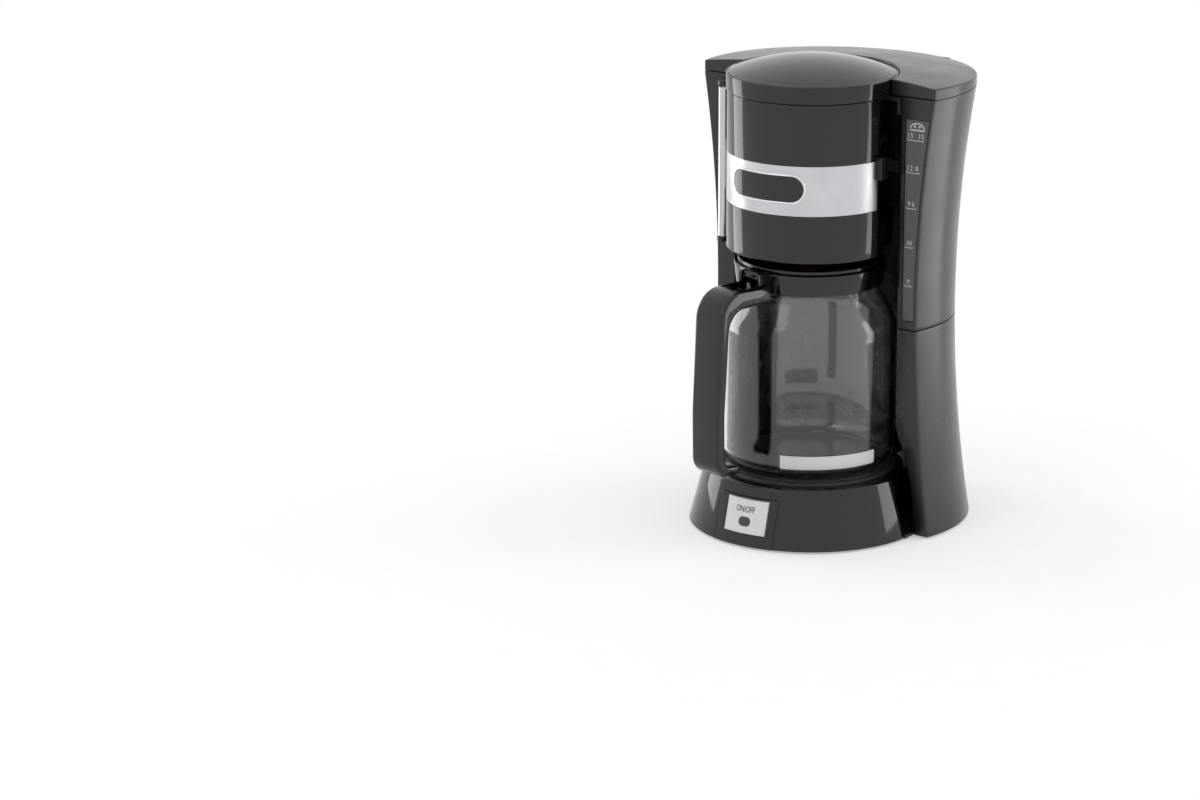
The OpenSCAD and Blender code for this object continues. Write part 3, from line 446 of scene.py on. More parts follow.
def piece(name, form, material, body, stands_for=(), crease=CREASE):
    """Puts a form into a mesh object in metres, and lets it ride on its body in place of the nodes
    that it stands for."""
    points, corners, counts = form
    mesh = bpy.data.meshes.new(name)
    mesh.vertices.add(len(points))
    mesh.vertices.foreach_set("co", (points * MM).astype(np.float32).ravel())
    mesh.loops.add(len(corners))
    mesh.loops.foreach_set("vertex_index", corners.astype(np.int32))
    mesh.polygons.add(len(counts))
    mesh.polygons.foreach_set("loop_start", (np.cumsum(counts) - counts).astype(np.int32))
    mesh.update(calc_edges=True)
    work = bmesh.new()
    work.from_mesh(mesh)
    bmesh.ops.remove_doubles(work, verts=work.verts, dist=2e-6)
    bmesh.ops.dissolve_degenerate(work, edges=work.edges, dist=1e-6)
    work.to_mesh(mesh)
    work.free()
    shade(mesh, crease)
    mesh.materials.append(material)
    made = bpy.data.objects.new(name, mesh)
    bpy.context.scene.collection.objects.link(made)
    if body:
        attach(made, body)
    if stands_for:
        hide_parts(*stands_for)
    return made


def cut(target, form):
    """Takes a closed form out of a finished piece and keeps the result as its mesh."""
    tool = piece("cutter", form, None, None)
    step = target.modifiers.new("cut", "BOOLEAN")
    step.object, step.operation, step.solver = tool, "DIFFERENCE", "EXACT"
    seen = target.evaluated_get(bpy.context.evaluated_depsgraph_get())
    mesh = bpy.data.meshes.new_from_object(seen)
    target.modifiers.clear()
    target.data = mesh
    shade(mesh, CREASE)
    bpy.data.objects.remove(tool)


# ---------- housings ----------

def column_radius(z):
    """Hourglass of the column's side: waist + R - sqrt(R^2 - (z - waist height)^2)."""
    return WAIST_R + FLARE_R - np.sqrt(FLARE_R ** 2 - (z - WAIST_Z) ** 2)


def bay_radius(z):
    """The bay's round wall, whose foot opens out round the base in a soft curve: straight lines
    between the given heights, averaged over 9 mm up and down."""
    near = z[:, None] + np.linspace(-9, 9, 19)[None]
    return np.interp(near, [2, 34, 60, 76], [FOOT_R + 1.5, BAY_R + 14, BAY_R + 8, BAY_R]).mean(1)


def column_loops(z, inset):
    """Outline of the C-shaped column at each height, drawn in by inset: the outer arc round the
    back, the left wing's flat front, the bay's arc, and the right wing's front. The wings' corners
    are arcs of 0.6 mm outside and 1.2 mm at the bay."""
    z, inset = z[:, None], inset[:, None]
    outer, inner = column_radius(z) - inset, bay_radius(z[:, 0])[:, None] + inset
    y = WING_Y + inset
    a = np.arcsin((y - COLUMN_Y) / outer)
    b = np.arcsin(y / inner)
    xo, xi = outer * np.cos(a), inner * np.cos(b)
    one, zero = np.ones_like(xo), np.zeros_like(xo)
    right_out, back_off = arcs(np.hstack([xo, y]), np.hstack([-one, zero]),
                               np.hstack([-np.sin(a), np.cos(a)]), 0.6, 5)
    right_in, bay_off = arcs(np.hstack([xi, y]), np.hstack([-np.sin(b), np.cos(b)]),
                             np.hstack([one, zero]), 1.2, 5)
    t = np.linspace(0, 1, 121)[None, 1:-1]
    low = a + back_off / outer
    angle = low + (np.pi - 2 * low) * t
    arc = np.stack([outer * np.cos(angle), COLUMN_Y + outer * np.sin(angle)], 2)
    low = b + bay_off / inner
    angle = np.pi - low - (np.pi - 2 * low) * t
    bay = np.stack([inner * np.cos(angle), inner * np.sin(angle)], 2)
    mirror = np.array([-1.0, 1.0])
    loop = np.concatenate([right_out, arc, right_out[:, ::-1] * mirror, right_in[:, ::-1] * mirror,
                           bay, right_in], 1)
    return np.concatenate([loop, np.broadcast_to(z[:, :, None], loop.shape[:2] + (1,))], 2)


def housing(low, high, soft=0.5, rows=72):
    """A housing between two heights: its outer skin going up, a rim rounded by soft, its inner skin
    going down, and a rounded foot, so that the wall is closed all round."""
    q = QUARTER[::-1]
    up = np.linspace(low + soft, high - soft, rows)[1:-1]
    z = np.r_[low + soft * (1 - np.sin(q)), up, high - soft * (1 - np.sin(q[::-1])),
              high - soft * (1 - np.sin(q)), up[::-1], low + soft * (1 - np.sin(q[::-1]))]
    inset = np.r_[soft * (1 - np.cos(q)), 0 * up, soft * (1 - np.cos(q[::-1])),
                  WALL - soft * (1 - np.cos(q)), 0 * up + WALL, WALL - soft * (1 - np.cos(q[::-1]))]
    return skin(column_loops(z, inset), wrap=True)


def gauge_edge(z, inset):
    """X of the column's side on the wing's face at a height, drawn in by inset."""
    return np.sqrt((column_radius(z) - inset) ** 2 - (WING_Y - COLUMN_Y) ** 2)


def knuckles(spans):
    """Knuckles of the tank lid's hinge: a round bar on its axis over each span of x."""
    return [rod((x, PIN_Y, PIN_Z), (w, PIN_Y, PIN_Z), KNUCKLE_R) for x, w in spans]


def lugs():
    """Ears above and below the filter door that hold its pins, and the tank lid's outer knuckles
    on wedges that grow out of the column's back."""
    ear = rounded([(HINGE_X - 4.5, HINGE_Y - 4.5, 4.4), (HINGE_X + 4.5, HINGE_Y - 4.5, 4.4),
                   (-BAY_R + 0.4, WING_Y + 1.5, 0.5), (-BAY_R - 6, WING_Y + 1.5, 0.5)])
    ears = [prism(ear, z, z + 3.4, 0.5, lying) for z in (DOOR_Z - 4, DOOR_TOP - 3.1)]
    wedge = rounded([(COLUMN_Y + 93.8, BODY_TOP - 14, 0.3), (COLUMN_Y + 98.5, BODY_TOP - 14, 1.0),
                     (PIN_Y + KNUCKLE_R, PIN_Z, 0.5), (COLUMN_Y + 93.8, PIN_Z, 0.3)])
    spans = ((-32, -20), (20, 32))
    return (ears + knuckles(spans) + [prism(wedge, x, w, 0.4, upright_x) for x, w in spans])


piece("lower_housing_shell", housing(FOOT_Z, SPLIT_Z), satin_abs, "machine", ["lower_housing"])
upper = piece("upper_housing_shell", housing(SPLIT_Z + SEAM, BODY_TOP), satin_abs, "machine",
              ["upper_housing"])
# The gauge's opening is 0.3 mm wider than its window on every side
opening_z = np.linspace(GAUGE_LOW - 0.3, GAUGE_HIGH + 0.3, 40)
opening = np.r_[np.stack([gauge_edge(opening_z, 1.2), opening_z], 1),
                [[GAUGE_X - 0.3, GAUGE_HIGH + 0.3], [GAUGE_X - 0.3, GAUGE_LOW - 0.3]]]
cut(upper, punch(opening, WING_Y - 3, WING_Y + 4, flat_y))
piece("housing_lugs", joined(*lugs()), satin_abs, "machine")


def on_gauge(x, z, depth):
    """The gauge's window: x from 0 to 1 runs from its straight left edge to the wing's corner."""
    high = GAUGE_LOW + z
    return np.stack([GAUGE_X + x * (gauge_edge(high, 1.5) - GAUGE_X), WING_Y + 0.25 + depth, high], 1)


def gauge_window():
    """Window of the water gauge in the wing's face. Its edges are rounded by r = 0.5 mm, and its
    front sits back by r - sqrt(r^2 - (r - n)^2), where n is the way to the nearest edge; the width
    counts as 18 mm for that, although it follows the wing's side."""
    xs = np.r_[0, 0.01, 0.03, np.linspace(0.06, 0.94, 10), 0.97, 0.99, 1]
    high = GAUGE_HIGH - GAUGE_LOW
    zs = np.r_[0, 0.2, 0.5, np.linspace(1.2, high - 1.2, 50), high - 0.5, high - 0.2, high]
    x, z = np.meshgrid(xs, zs, indexing="ij")
    near = np.minimum(np.minimum(x, 1 - x) * 18, np.minimum(z, high - z))
    drop = 0.5 - np.sqrt(np.maximum(0, 0.25 - np.maximum(0, 0.5 - near) ** 2))
    return slab(on_gauge(x.ravel(), z.ravel(), drop.ravel()),
                on_gauge(x.ravel(), z.ravel(), np.full(x.size, 2.3)), *x.shape)


piece("gauge_window", gauge_window(), smoked_pc, "machine", ["water_gauge"])


# ---------- tank lid ----------

def lid_loop(inner_angle, outer_angle, inset, hollow):
    """One cross-section of the tank lid, from its edge by the cap to its outer edge: up the inner
    rim, over the crown z = top - R + sqrt(R^2 - x^2 - y^2), down the outer rim, and back along the
    wall's inside, or along the foot where the section is solid."""
    near = (CAP_R + SEAM) * np.array([math.cos(inner_angle), math.sin(inner_angle)])
    far = np.array([0, COLUMN_Y]) + LID_R * np.array([math.cos(outer_angle), math.sin(outer_angle)])
    width = np.linalg.norm(far - near)
    along = (far - near) / width
    soft = 1.4

    def height(a):
        """Height of the crown at a distance from the inner edge."""
        p = near + np.multiply.outer(a, along)
        return (LID_Z + LID_CROWN - LID_BALL
                + np.sqrt(LID_BALL ** 2 - p[:, 0] ** 2 - (p[:, 1] - LID_CROWN_Y) ** 2))

    lift = np.linspace(0, 1, 6)[:-1]
    q = QUARTER
    top = np.linspace(soft, width - soft, 40)[1:-1]
    up = height(np.array([soft]))[0] - soft
    down = height(np.array([width - soft]))[0] - soft
    a = np.r_[0 * lift, soft * (1 - np.cos(q)), top, width - soft * (1 - np.cos(q[::-1])),
              width + 0 * lift]
    z = np.r_[LID_Z + (up - LID_Z) * lift, up + soft * np.sin(q), height(top),
              down + soft * np.sin(q[::-1]), (LID_Z + (down - LID_Z) * lift)[::-1]]
    middle = width / 2
    a = middle + (a - middle) * (1 - 2 * inset / width)
    z = np.maximum(z - inset, LID_Z + inset)
    inside = np.linspace(width - WALL, WALL, 30)
    ceiling = height(inside) - WALL if hollow else np.full(30, LID_Z + inset + 0.02)
    a = np.r_[a, width - WALL, inside, WALL]
    z = np.r_[z, LID_Z + inset, ceiling, LID_Z + inset]
    p = near + np.multiply.outer(a, along)
    return np.stack([p[:, 0], p[:, 1], z], 1)


def tank_lid():
    """The lid's sections from the right wing round the back to the left one. The first and last few
    are solid and make its front walls, whose outer edges are rounded."""
    def angles(y):
        """Angles at which the lid's inner and outer edge are at y."""
        return math.asin(y / (CAP_R + SEAM)), math.asin((y - COLUMN_Y) / LID_R)
    ends = [(WING_Y + 0.8 * (1 - math.cos(q)), 0.8 * (1 - math.sin(q)), False) for q in QUARTER]
    ends += [(WING_Y + WALL, 0.0, False), (WING_Y + WALL, 0.0, True)]
    loops = [lid_loop(*angles(y), inset, hollow) for y, inset, hollow in ends]
    a, b = angles(WING_Y + WALL)
    t = np.linspace(0, 1, 100)[1:-1]
    loops += [lid_loop(a + (math.pi - 2 * a) * k, b + (math.pi - 2 * b) * k, 0.0, True) for k in t]
    loops += [lid_loop(math.pi - angles(y)[0], math.pi - angles(y)[1], inset, hollow)
              for y, inset, hollow in ends[::-1]]
    return skin(np.stack(loops))


lid_spans = ((-19.6, -9), (9, 19.6))
lid_arms = [prism(box(x, w, PIN_Y - 8, PIN_Y, 0.5), LID_Z + 0.2, LID_Z + 3.2, 0.4, lying)
            for x, w in lid_spans]
piece("tank_lid_shell", joined(tank_lid(), *knuckles(lid_spans), *lid_arms), satin_abs, "tank_lid",
      ["tank_lid"])


# ---------- brewing head ----------

def cap_profile():
    """Profile of the brew cap from its crown down the band and back up the wall's inside. The crown
    is a ball of radius (r^2 + h^2) / 2h, and a narrow groove parts it from the band's sharp top edge.
    The edge's first and last corner only aim it at the crown and the wall, and aren't kept."""
    ball, steps = (CAP_R ** 2 + CAP_RISE ** 2) / (2 * CAP_RISE), 5

    def crown(r, inset):
        """Height of the ball, drawn in by inset, at a radius."""
        return CAP_TOP - ball + np.sqrt((ball - inset) ** 2 - r ** 2)
    r = np.linspace(0, CAP_R - 2.2, 40)
    foot = float(crown(CAP_R - 1.6, 0))
    edge = rounded([(CAP_R - 6, foot + 1, 0.01), (CAP_R - 1.6, foot + 0.1, 0.2),
                    (CAP_R - 1.5, foot - 0.7, 0.2), (CAP_R - 1.1, foot - 0.7, 0.15),
                    (CAP_R - 0.9, foot - 0.1, 0.2), (CAP_R, foot - 0.1, 0.5), (CAP_R, CAP_LOW, 0.5),
                    (CAP_R - WALL, CAP_LOW, 0.5), (CAP_R - 6, CAP_LOW + 2.6, 0.01)], steps)
    inner = np.linspace(CAP_R - WALL, 0, 24)
    return np.r_[np.stack([r, crown(r, 0)], 1), edge[steps:-steps],
                 np.stack([inner, crown(inner, WALL)], 1)]


piece("brew_cap_dome", turned(cap_profile()), gloss_abs, "machine", ["brew_cap"])


def door_panel():
    """The door's wall with its recess for the band, swept round the brew axis; the ledge that
    carries the filter holder; plain strips that close the recess at both ends of the band; the
    strip inside the right end; and the web that reaches the hinge barrel."""
    inner = DOOR_R - DOOR_T
    wall = rounded([(inner, DOOR_Z, 0.6), (DOOR_R, DOOR_Z, 0.9), (DOOR_R, BAND_Z, 0.15),
                    (DOOR_R - 0.9, BAND_Z, 0.05), (DOOR_R - 0.9, BAND_Z + BAND_H, 0.05),
                    (DOOR_R, BAND_Z + BAND_H, 0.15), (DOOR_R, DOOR_TOP, 0.7), (inner, DOOR_TOP, 0.6)], 5)
    ledge = rounded([(DOOR_R - 1, 210, 0.4), (DOOR_R - 1, 232, 0.4), (inner - 0.6, 232, 0.4),
                     (inner - 0.6, 213, 0.8), (46, 213, 0.8), (46, 210, 0.8)], 5)
    plain = box(inner, DOOR_R, BAND_Z - 1, BAND_Z + BAND_H + 1, 0.1, 3)
    edge = box(inner - 1.4, DOOR_R - 0.9, DOOR_Z + 0.5, DOOR_TOP - 0.5, 0.5, 4)
    web = box(HINGE_X, HINGE_X + 8, HINGE_Y - 3, HINGE_Y, 0.1, 3)
    return joined(swept(wall, -DOOR_SWEEP, DOOR_END, 0.5), turned(ledge),
                  swept(plain, DOOR_END - 2.4, DOOR_END - 0.02, 0.05, 8),
                  swept(plain, -DOOR_SWEEP + 0.02, -DOOR_SWEEP + 5.0, 0.05, 8),
                  swept(edge, DOOR_SWEEP - 3.0, DOOR_SWEEP - 0.5, 0.4, 6),
                  prism(web, DOOR_Z, DOOR_TOP - 4, 0.1, lying))


piece("filter_door_panel", door_panel(), gloss_abs, "door", ["filter_door"])
piece("door_hinge_barrel",
      rod((HINGE_X, HINGE_Y, DOOR_Z), (HINGE_X, HINGE_Y, DOOR_TOP - 4), 4.5, 0.5), stainless, "door")
band = rounded([(DOOR_R - 0.85, BAND_Z + 0.15, 0.1), (DOOR_R, BAND_Z + 0.15, 0.25),
                (DOOR_R, BAND_Z + BAND_H - 0.15, 0.25), (DOOR_R - 0.85, BAND_Z + BAND_H - 0.15, 0.1)], 5)
piece("door_band_trim", swept(band, -DOOR_SWEEP + 5.1, DOOR_END - 2.5, 0.2, 120), brushed, "door",
      ["door_band"])


def evenly(loop, count):
    """A closed outline with its points set at equal steps along it: x and y are read off by length."""
    closed = np.r_[loop, loop[:1]]
    far = np.r_[0, np.cumsum(np.linalg.norm(np.diff(closed, axis=0), axis=1))]
    at = np.linspace(0, far[-1], count, endpoint=False)
    return np.stack([np.interp(at, far, closed[:, 0]), np.interp(at, far, closed[:, 1])], 1)


def medallion(half_w, half_h, share, lift):
    """Rings of a long round-ended badge bent round the door. Each ring is the outline drawn in
    towards the badge's middle line by a share, and stands lift off the door: (r sin a, -r cos a)
    with a = x / door radius, from 1.2 degrees left of the front."""
    ring = evenly(box(-half_w, half_w, -half_h, half_h, half_h - 0.01, 24), 200)
    spine = np.clip(ring[:, 0], half_h - half_w, half_w - half_h)
    x = spine + share[:, None] * (ring[:, 0] - spine)
    r = DOOR_R + lift[:, None] + 0 * x
    turn = math.radians(-1.2) + x / DOOR_R
    return np.stack([r * np.sin(turn), -r * np.cos(turn), BADGE_Z + share[:, None] * ring[:, 1]], 2)


def zipped(loops):
    """Closed skin whose last loop is filled by strips between the points that face each other
    across its middle line, so that the filling bends with the loop."""
    rows, cols = loops.shape[:2]
    first, half = (rows - 1) * cols, cols // 2
    i = np.arange(1, half - 1)
    strips = first + np.stack([i, i + 1, cols - i - 1, cols - i], 1)
    ends = first + np.array([[0, 1, cols - 1], [half - 1, half, half + 1]])
    return outward(loops.reshape(-1, 3), quads(rows, cols), np.arange(cols)[None, ::-1], strips, ends)


swell = np.linspace(0, np.pi / 2, 8)
badge = medallion(31.2, 9.6, np.r_[1, 1 - 0.06 * (1 - np.cos(swell))], np.r_[-0.1, 0.35 * np.sin(swell)])
piece("door_badge", zipped(badge), gloss_abs, "door")
swell = np.linspace(0, np.pi, 14)
rim = medallion(32.2, 10.7, np.r_[1, 0.925 + 0.075 * np.cos(swell), 0.85],
                np.r_[-0.1, 0.9 * np.sin(swell) ** 0.8, -0.1])
piece("door_badge_rim", skin(rim, wrap=True), chrome, "door")


# ---------- base ----------

def skirt_radius(z):
    """Cone of the base's skirt, straight from the foot to the rim."""
    return FOOT_R - (z - FOOT_Z) * (FOOT_R - RIM_R) / (RIM_Z - FOOT_Z)


def base():
    """Skirt round the front and the round core behind it, under one rim that holds the plate: two
    profiles swept round the brew axis, which share the rim's inner lip."""
    under = RIM_Z - WALL
    lip = [(61.3, RIM_Z, 0.7), (61.3, 34.0, 0.4), (64.0, 34.0, 0.4), (64.0, under, 0.4)]
    front = rounded([(FOOT_R - WALL, FOOT_Z, 0.4), (FOOT_R, FOOT_Z, 0.6), (RIM_R, RIM_Z, 1.6), *lip,
                     (RIM_R - WALL - 0.6, under, 0.8)])
    rear = rounded([(67.0, 4.3, 0.4), (69.5, 4.3, 0.4), (69.5, RIM_Z, 1.2), *lip, (67.0, under, 0.4)])
    return joined(swept(front, -87.0, 87.0, 0.5, 140), swept(rear, 86.9, 273.1, 0.1, 120))


THROUGH_SKIRT = (-100, -60, flat_y)               # depths that the skirt's cutters run between
FASCIA_X, FASCIA_W, FASCIA_H = -26.0, 49.4, 34.3
shell = piece("base_skirt", base(), gloss_abs, "machine", ["base_housing"])
# The opening leaves 0.3 mm at the fascia's sides and 0.5 mm above it
notch = rounded([(-26.3, -5, 0.1), (23.7, -5, 0.1), (23.7, 36.3, 2.2), (-26.3, 36.3, 2.2)])
cut(shell, punch(notch, *THROUGH_SKIRT))


def on_skirt(low_x, low_z, proud=0.0):
    """Puts a flat plate on the skirt: y = -sqrt((R(z) + proud - depth)^2 - x^2)."""
    def place(x, z, depth):
        """The same, from the plate's own x, z and depth."""
        x, z = low_x + x, low_z + z
        return np.stack([x, -np.sqrt((skirt_radius(z) + proud - depth) ** 2 - x ** 2), z], 1)
    return place


fascia = piece("fascia_panel",
               plate(FASCIA_W, FASCIA_H, WALL, 0.4, on_skirt(FASCIA_X, FOOT_Z), (40, 24)),
               gloss_abs, "machine", ["switch_fascia"])
cut(fascia, punch(box(-17.5, 17.5, 9.9, 34.9, 1.0), *THROUGH_SKIRT))
button = piece("power_button_cap",
               plate(BUTTON_W, BUTTON_H, 3.4, 0.8, on_skirt(-BUTTON_W / 2, BUTTON_Z, 1.0), (36, 26)),
               silver_paint, "power_button", ["power_button"])
cut(button, punch(box(-4.9, 4.9, 15.6, 22.2, 3.1, 10), *THROUGH_SKIRT))


# ---------- carafe ----------

def glass_line(inset):
    """Half outline of the glass from the middle of its floor to its neck: a floor pushed up by
    1.5 cos^2 mm, a foot of 12 mm radius, a straight wall, and a shoulder from 148 to 180 mm whose
    radius is neck + (glass - neck) (1 + cos pi t) / 2."""
    curve = 12
    floor = np.linspace(0, GLASS_R - (curve + 0.5), 14)
    push = 1.5 * np.cos(np.clip(floor / (GLASS_R - (curve + 2)), 0, 1) * np.pi / 2) ** 2
    foot = np.linspace(-np.pi / 2, 0, 16)
    t = np.linspace(0, 1, 40)
    shoulder = NECK_R - inset + (GLASS_R - NECK_R) * (1 + np.cos(np.pi * t)) / 2
    return np.r_[np.stack([floor, GLASS_Z + inset + push], 1),
                 np.stack([GLASS_R - curve + (curve - inset) * np.cos(foot),
                           GLASS_Z + curve + (curve - inset) * np.sin(foot)], 1),
                 np.stack([shoulder, 148 + 32 * t], 1)]


def carafe_glass():
    """The glass's outer side up to its mouth, a round lip, and its inner side back to the floor."""
    q = np.linspace(0, np.pi, 10)
    lip = np.stack([NECK_R - GLASS_T / 2 + GLASS_T / 2 * np.cos(q),
                    COLLAR_TOP - 4.2 + GLASS_T / 2 * np.sin(q)], 1)
    return turned(np.r_[glass_line(0), lip, glass_line(GLASS_T)[::-1]], 180)


piece("carafe_glass_body", carafe_glass(), glass, "carafe", ["carafe_glass"], crease=60)
# Painted reflection of the white floor and lamps: a white band from 55.4 to 65.4 mm up, 0.03 to 0.15 mm
# off the glass, laid only over the part of the foot from 14.5 to 82 degrees right of the front
proud = 0.15
foot = glass_line(-proud)
foot = foot[(foot[:, 1] > 55.2) & (foot[:, 1] < 60)]
foot = np.r_[foot, [[GLASS_R + proud, 65.4]]]
piece("carafe_foot_painted_reflection", swept(np.r_[foot, (foot - [0.12, 0])[::-1]], 14.5, 82.0, 0.02), foot_reflection_paint,
      "carafe")

grip = rounded([(53.6, 187.2, 0.6), (103.6, 188.2, 21), (107.8, 100, 90), (107.1, 54.2, 13),
                (83.4, 54.6, 2.8), (84.0, 61.2, 2.6), (98.6, 62.2, 7), (99.0, 100, 60),
                (94.2, 174.6, 16), (53.6, 174.4, 0.6)], 12)
handle = piece("carafe_handle_grip", prism(grip, -HANDLE_W / 2, HANDLE_W / 2, 2.6, on_handle),
               gloss_abs, "carafe", ["carafe_handle"])
# Out of the grip: the lid's tab, the collar's round and the screw's bore
thumb = rounded([(50, -11.2, 2), (76.8, -11.2, 6), (76.8, 11.2, 6), (50, 11.2, 2)])
cut(handle, punch(thumb, 181.6, 210, over_handle))
cut(handle, turned(np.array([[0, 150], [54.8, 150], [54.8, 230], [0, 230]]), 96))
screw = on_handle(np.array([40.0, 82.0]), np.array([180.5, 180.5]), np.zeros(2))
cut(handle, rod(*screw, 2.2))


def collar():
    """Collar round the neck, a profile turned round the brew axis, and the two lugs of the lid's
    hinge."""
    ring = rounded([(NECK_R + 0.2, 180, 0.4), (NECK_R + 3, 180, 0.9), (NECK_R + 4.6, COLLAR_TOP, 0.9),
                    (NECK_R + 0.2, COLLAR_TOP, 0.6)], 6)
    lug = rounded([(NECK_R + 2.8, COLLAR_TOP - 9, 0.5), (63.5, COLLAR_TOP - 9, 2),
                   (63.5, COLLAR_TOP + 1, 2), (NECK_R + 2.8, COLLAR_TOP + 1, 0.5)])
    return joined(turned(ring), *[prism(lug, side - 1.4, side + 1.4, 0.4, on_handle)
                                  for side in (-8.6, 8.6)])


def spout():
    """Pouring lip opposite the handle: a flared half-round trough whose section at height z has the
    radius 5 + 4 t outside and 3 + 4.2 t inside, t from 0 at its foot to 1 at the collar's top."""
    centre = on_handle(np.array([-NECK_R - 1.5]), np.array([0.0]), np.array([0.0]))[0]
    t = np.linspace(0, 1, 12)[:, None]
    away = math.radians(-90 - HANDLE_TURN) + math.pi
    out = np.linspace(away - 1.75, away + 1.75, 40)
    outer, inner = 5 + 4 * t, 3 + 4.2 * t
    x = np.hstack([outer * np.cos(out), (inner * np.cos(out))[:, ::-1]]) + centre[0]
    y = np.hstack([outer * np.sin(out), (inner * np.sin(out))[:, ::-1]]) + centre[1]
    return skin(np.stack([x, y, COLLAR_TOP - 9 + 9 * t + 0 * x], 2))


piece("carafe_collar_ring", collar(), gloss_abs, "carafe", ["carafe_collar"])
piece("carafe_spout", spout(), gloss_abs, "carafe")


def lid_disc():
    """Lid of the carafe: a wide flange and a dish that falls to the knob's well, as one profile
    turned round the brew axis, the thumb tab that lies over the handle, and the hinge's eye."""
    low, top = COLLAR_TOP, COLLAR_TOP + 3.3
    disc = rounded([(10.0, low - 15, 0.4), (12.2, low - 15, 0.4), (12.2, low - 9, 0.4), (16, low - 9, 2),
                    (36, low - 2, 3), (44.6, low - 2, 0.5), (45.0, low - 8, 0.3), (47.1, low - 8, 0.4),
                    (47.1, low + 0.3, 0.3), (52, low + 0.3, 0.5), (52, top, 1.3), (36, top, 2.0),
                    (15, low - 6, 2.5), (10, low - 6, 0.4)])
    tab = rounded([(45.5, -6.5, 0.5), (72.5, -6.5, 6.2), (72.5, 6.5, 6.2), (45.5, 6.5, 0.5)], 8)
    return joined(turned(disc), prism(tab, low + 0.5, top, 0.9, over_handle),
                  prism(box(57.5, 61.5, 192.5, 196.5, 0.5, 4), -6.5, 6.5, 0.3, on_handle))


carafe_lid = piece("carafe_lid_disc", lid_disc(), gloss_abs, "carafe_lid", ["carafe_lid"])
# Two pouring slots over the spout
for side in (-3, 3):
    cut(carafe_lid, punch(box(-58, -46, side - 1.5, side + 1.5, 0.7, 4), 189.5, 205, over_handle))


# ---------- print ----------

def lettering(words, tall, place, name, material, body, narrow=1.0, bold=0.0):
    """Raised print 0.06 mm thick: letters are made a mesh, scaled so that a capital is tall
    millimetres high, drawn narrow and fattened by bold, and laid on its surface by
    place(x, z, depth)."""
    forms = []
    for text, x, z in words:
        curve = bpy.data.curves.new("letters", "FONT")
        curve.body, curve.align_x, curve.size = text, "CENTER", tall / 0.7
        curve.extrude, curve.resolution_u, curve.offset = 0.03, 3, bold
        source = bpy.data.objects.new("letters", curve)
        bpy.context.scene.collection.objects.link(source)
        bpy.context.view_layer.update()
        seen = source.evaluated_get(bpy.context.evaluated_depsgraph_get())
        mesh = bpy.data.meshes.new_from_object(seen)
        p = np.empty((len(mesh.vertices), 3), np.float32)
        corners, counts = np.empty(len(mesh.loops), np.int32), np.empty(len(mesh.polygons), np.int32)
        mesh.vertices.foreach_get("co", p.ravel())
        mesh.loops.foreach_get("vertex_index", corners)
        mesh.polygons.foreach_get("loop_total", counts)
        p = p.astype(float)
        forms.append((place(p[:, 0] * narrow + x, p[:, 1] + z, -p[:, 2]), corners, counts))
        bpy.data.objects.remove(source)
        bpy.data.curves.remove(curve)
        bpy.data.meshes.remove(mesh)
    return piece(name, joined(*forms), material, body, crease=60)


def printed(outline, soft, place):
    """An outline as a thin layer of ink, 0.05 mm into its surface and 0.03 mm above it."""
    return prism(outline, -0.03, 0.05, soft, place)


def bar(x0, x1, z0, z1):
    """Outline of a printed bar."""
    return box(x0, x1, z0, z1, 0.15, 5)


def on_window(x, z, depth):
    """On the gauge's face: depth runs along +Y."""
    return np.stack([x, WING_Y + 0.22 + depth, z], 1)


# The gauge's marks: height, small cups and large cups, where the level bar starts, and the window's
# right side, which the bar keeps GAP away from
GAP = 2.4
MARKS = [(z, small, large, 75.0, float(gauge_edge(np.array(z), 1.5)))
         for z, small, large in ((290.1, "15", "10"), (266.7, "12", "8"), (240.9, "9", "6"),
                                 (212.6, "6", "4"), (184.4, "3", "2"))]
numbers = []
for z, small, large, _, side in MARKS:
    numbers += [(small, 77.6, z + 1.7), (large, side - GAP - 2.4, z + 1.7)]
lettering(numbers, 3.6, on_window, "gauge_numbers", white_ink, "machine")
ticks = [printed(bar(low, side - GAP, z - 0.3, z + 0.3), 0.035, on_window)
         for z, _, _, low, side in MARKS]
# Uprights at both ends of each bar, inset so that no corner meets one of the bar's
ticks += [printed(bar(x + 0.04, x + 0.46, z - 0.2, z + 1.2), 0.035, on_window)
          for z, _, _, low, side in MARKS for x in (low, side - (GAP + 0.5))]
# A plain cup under a round heap of grounds marks the scale's top
cup, cup_x = box(77.0, 89.4, 297.0, 298.2, 0.4, 3), 83.2
a = np.linspace(0, np.pi, 20)
heap = np.r_[np.stack([cup_x + 6 * np.cos(a), 298.8 + 4.2 * np.sin(a)], 1),
             np.stack([cup_x - 4.9 * np.cos(a), 298.8 + 3.1 * np.sin(a)], 1)]
dots = [np.stack([cup_x + x + 1.1 * np.cos(2 * a[:-1]), 300.2 + 0.9 * np.sin(2 * a[:-1])], 1)
        for x in (-2.0, 1.9)]
ticks += [printed(loop, 0.005, on_window) for loop in (cup, heap, *dots)]
piece("gauge_ticks", joined(*ticks), white_ink, "machine")
lettering([("ON/OFF", -0.4, 25.4)], 4.3, on_skirt(0, 0, 1.04), "button_print", black_ink,
          "power_button", narrow=0.7, bold=0.07)


def on_glass(x, z, depth):
    """Round the glass, on the side between the handle and the viewer's left: (r cos a, r sin a)
    with a = x / glass radius - 160 degrees."""
    a = math.radians(-160) + x / GLASS_R
    r = GLASS_R + 0.05 - depth
    return np.stack([r * np.cos(a), r * np.sin(a), z], 1)


def cups_z(cups):
    """Height of the carafe's mark for a number of cups."""
    return 56 + cups * 7.4


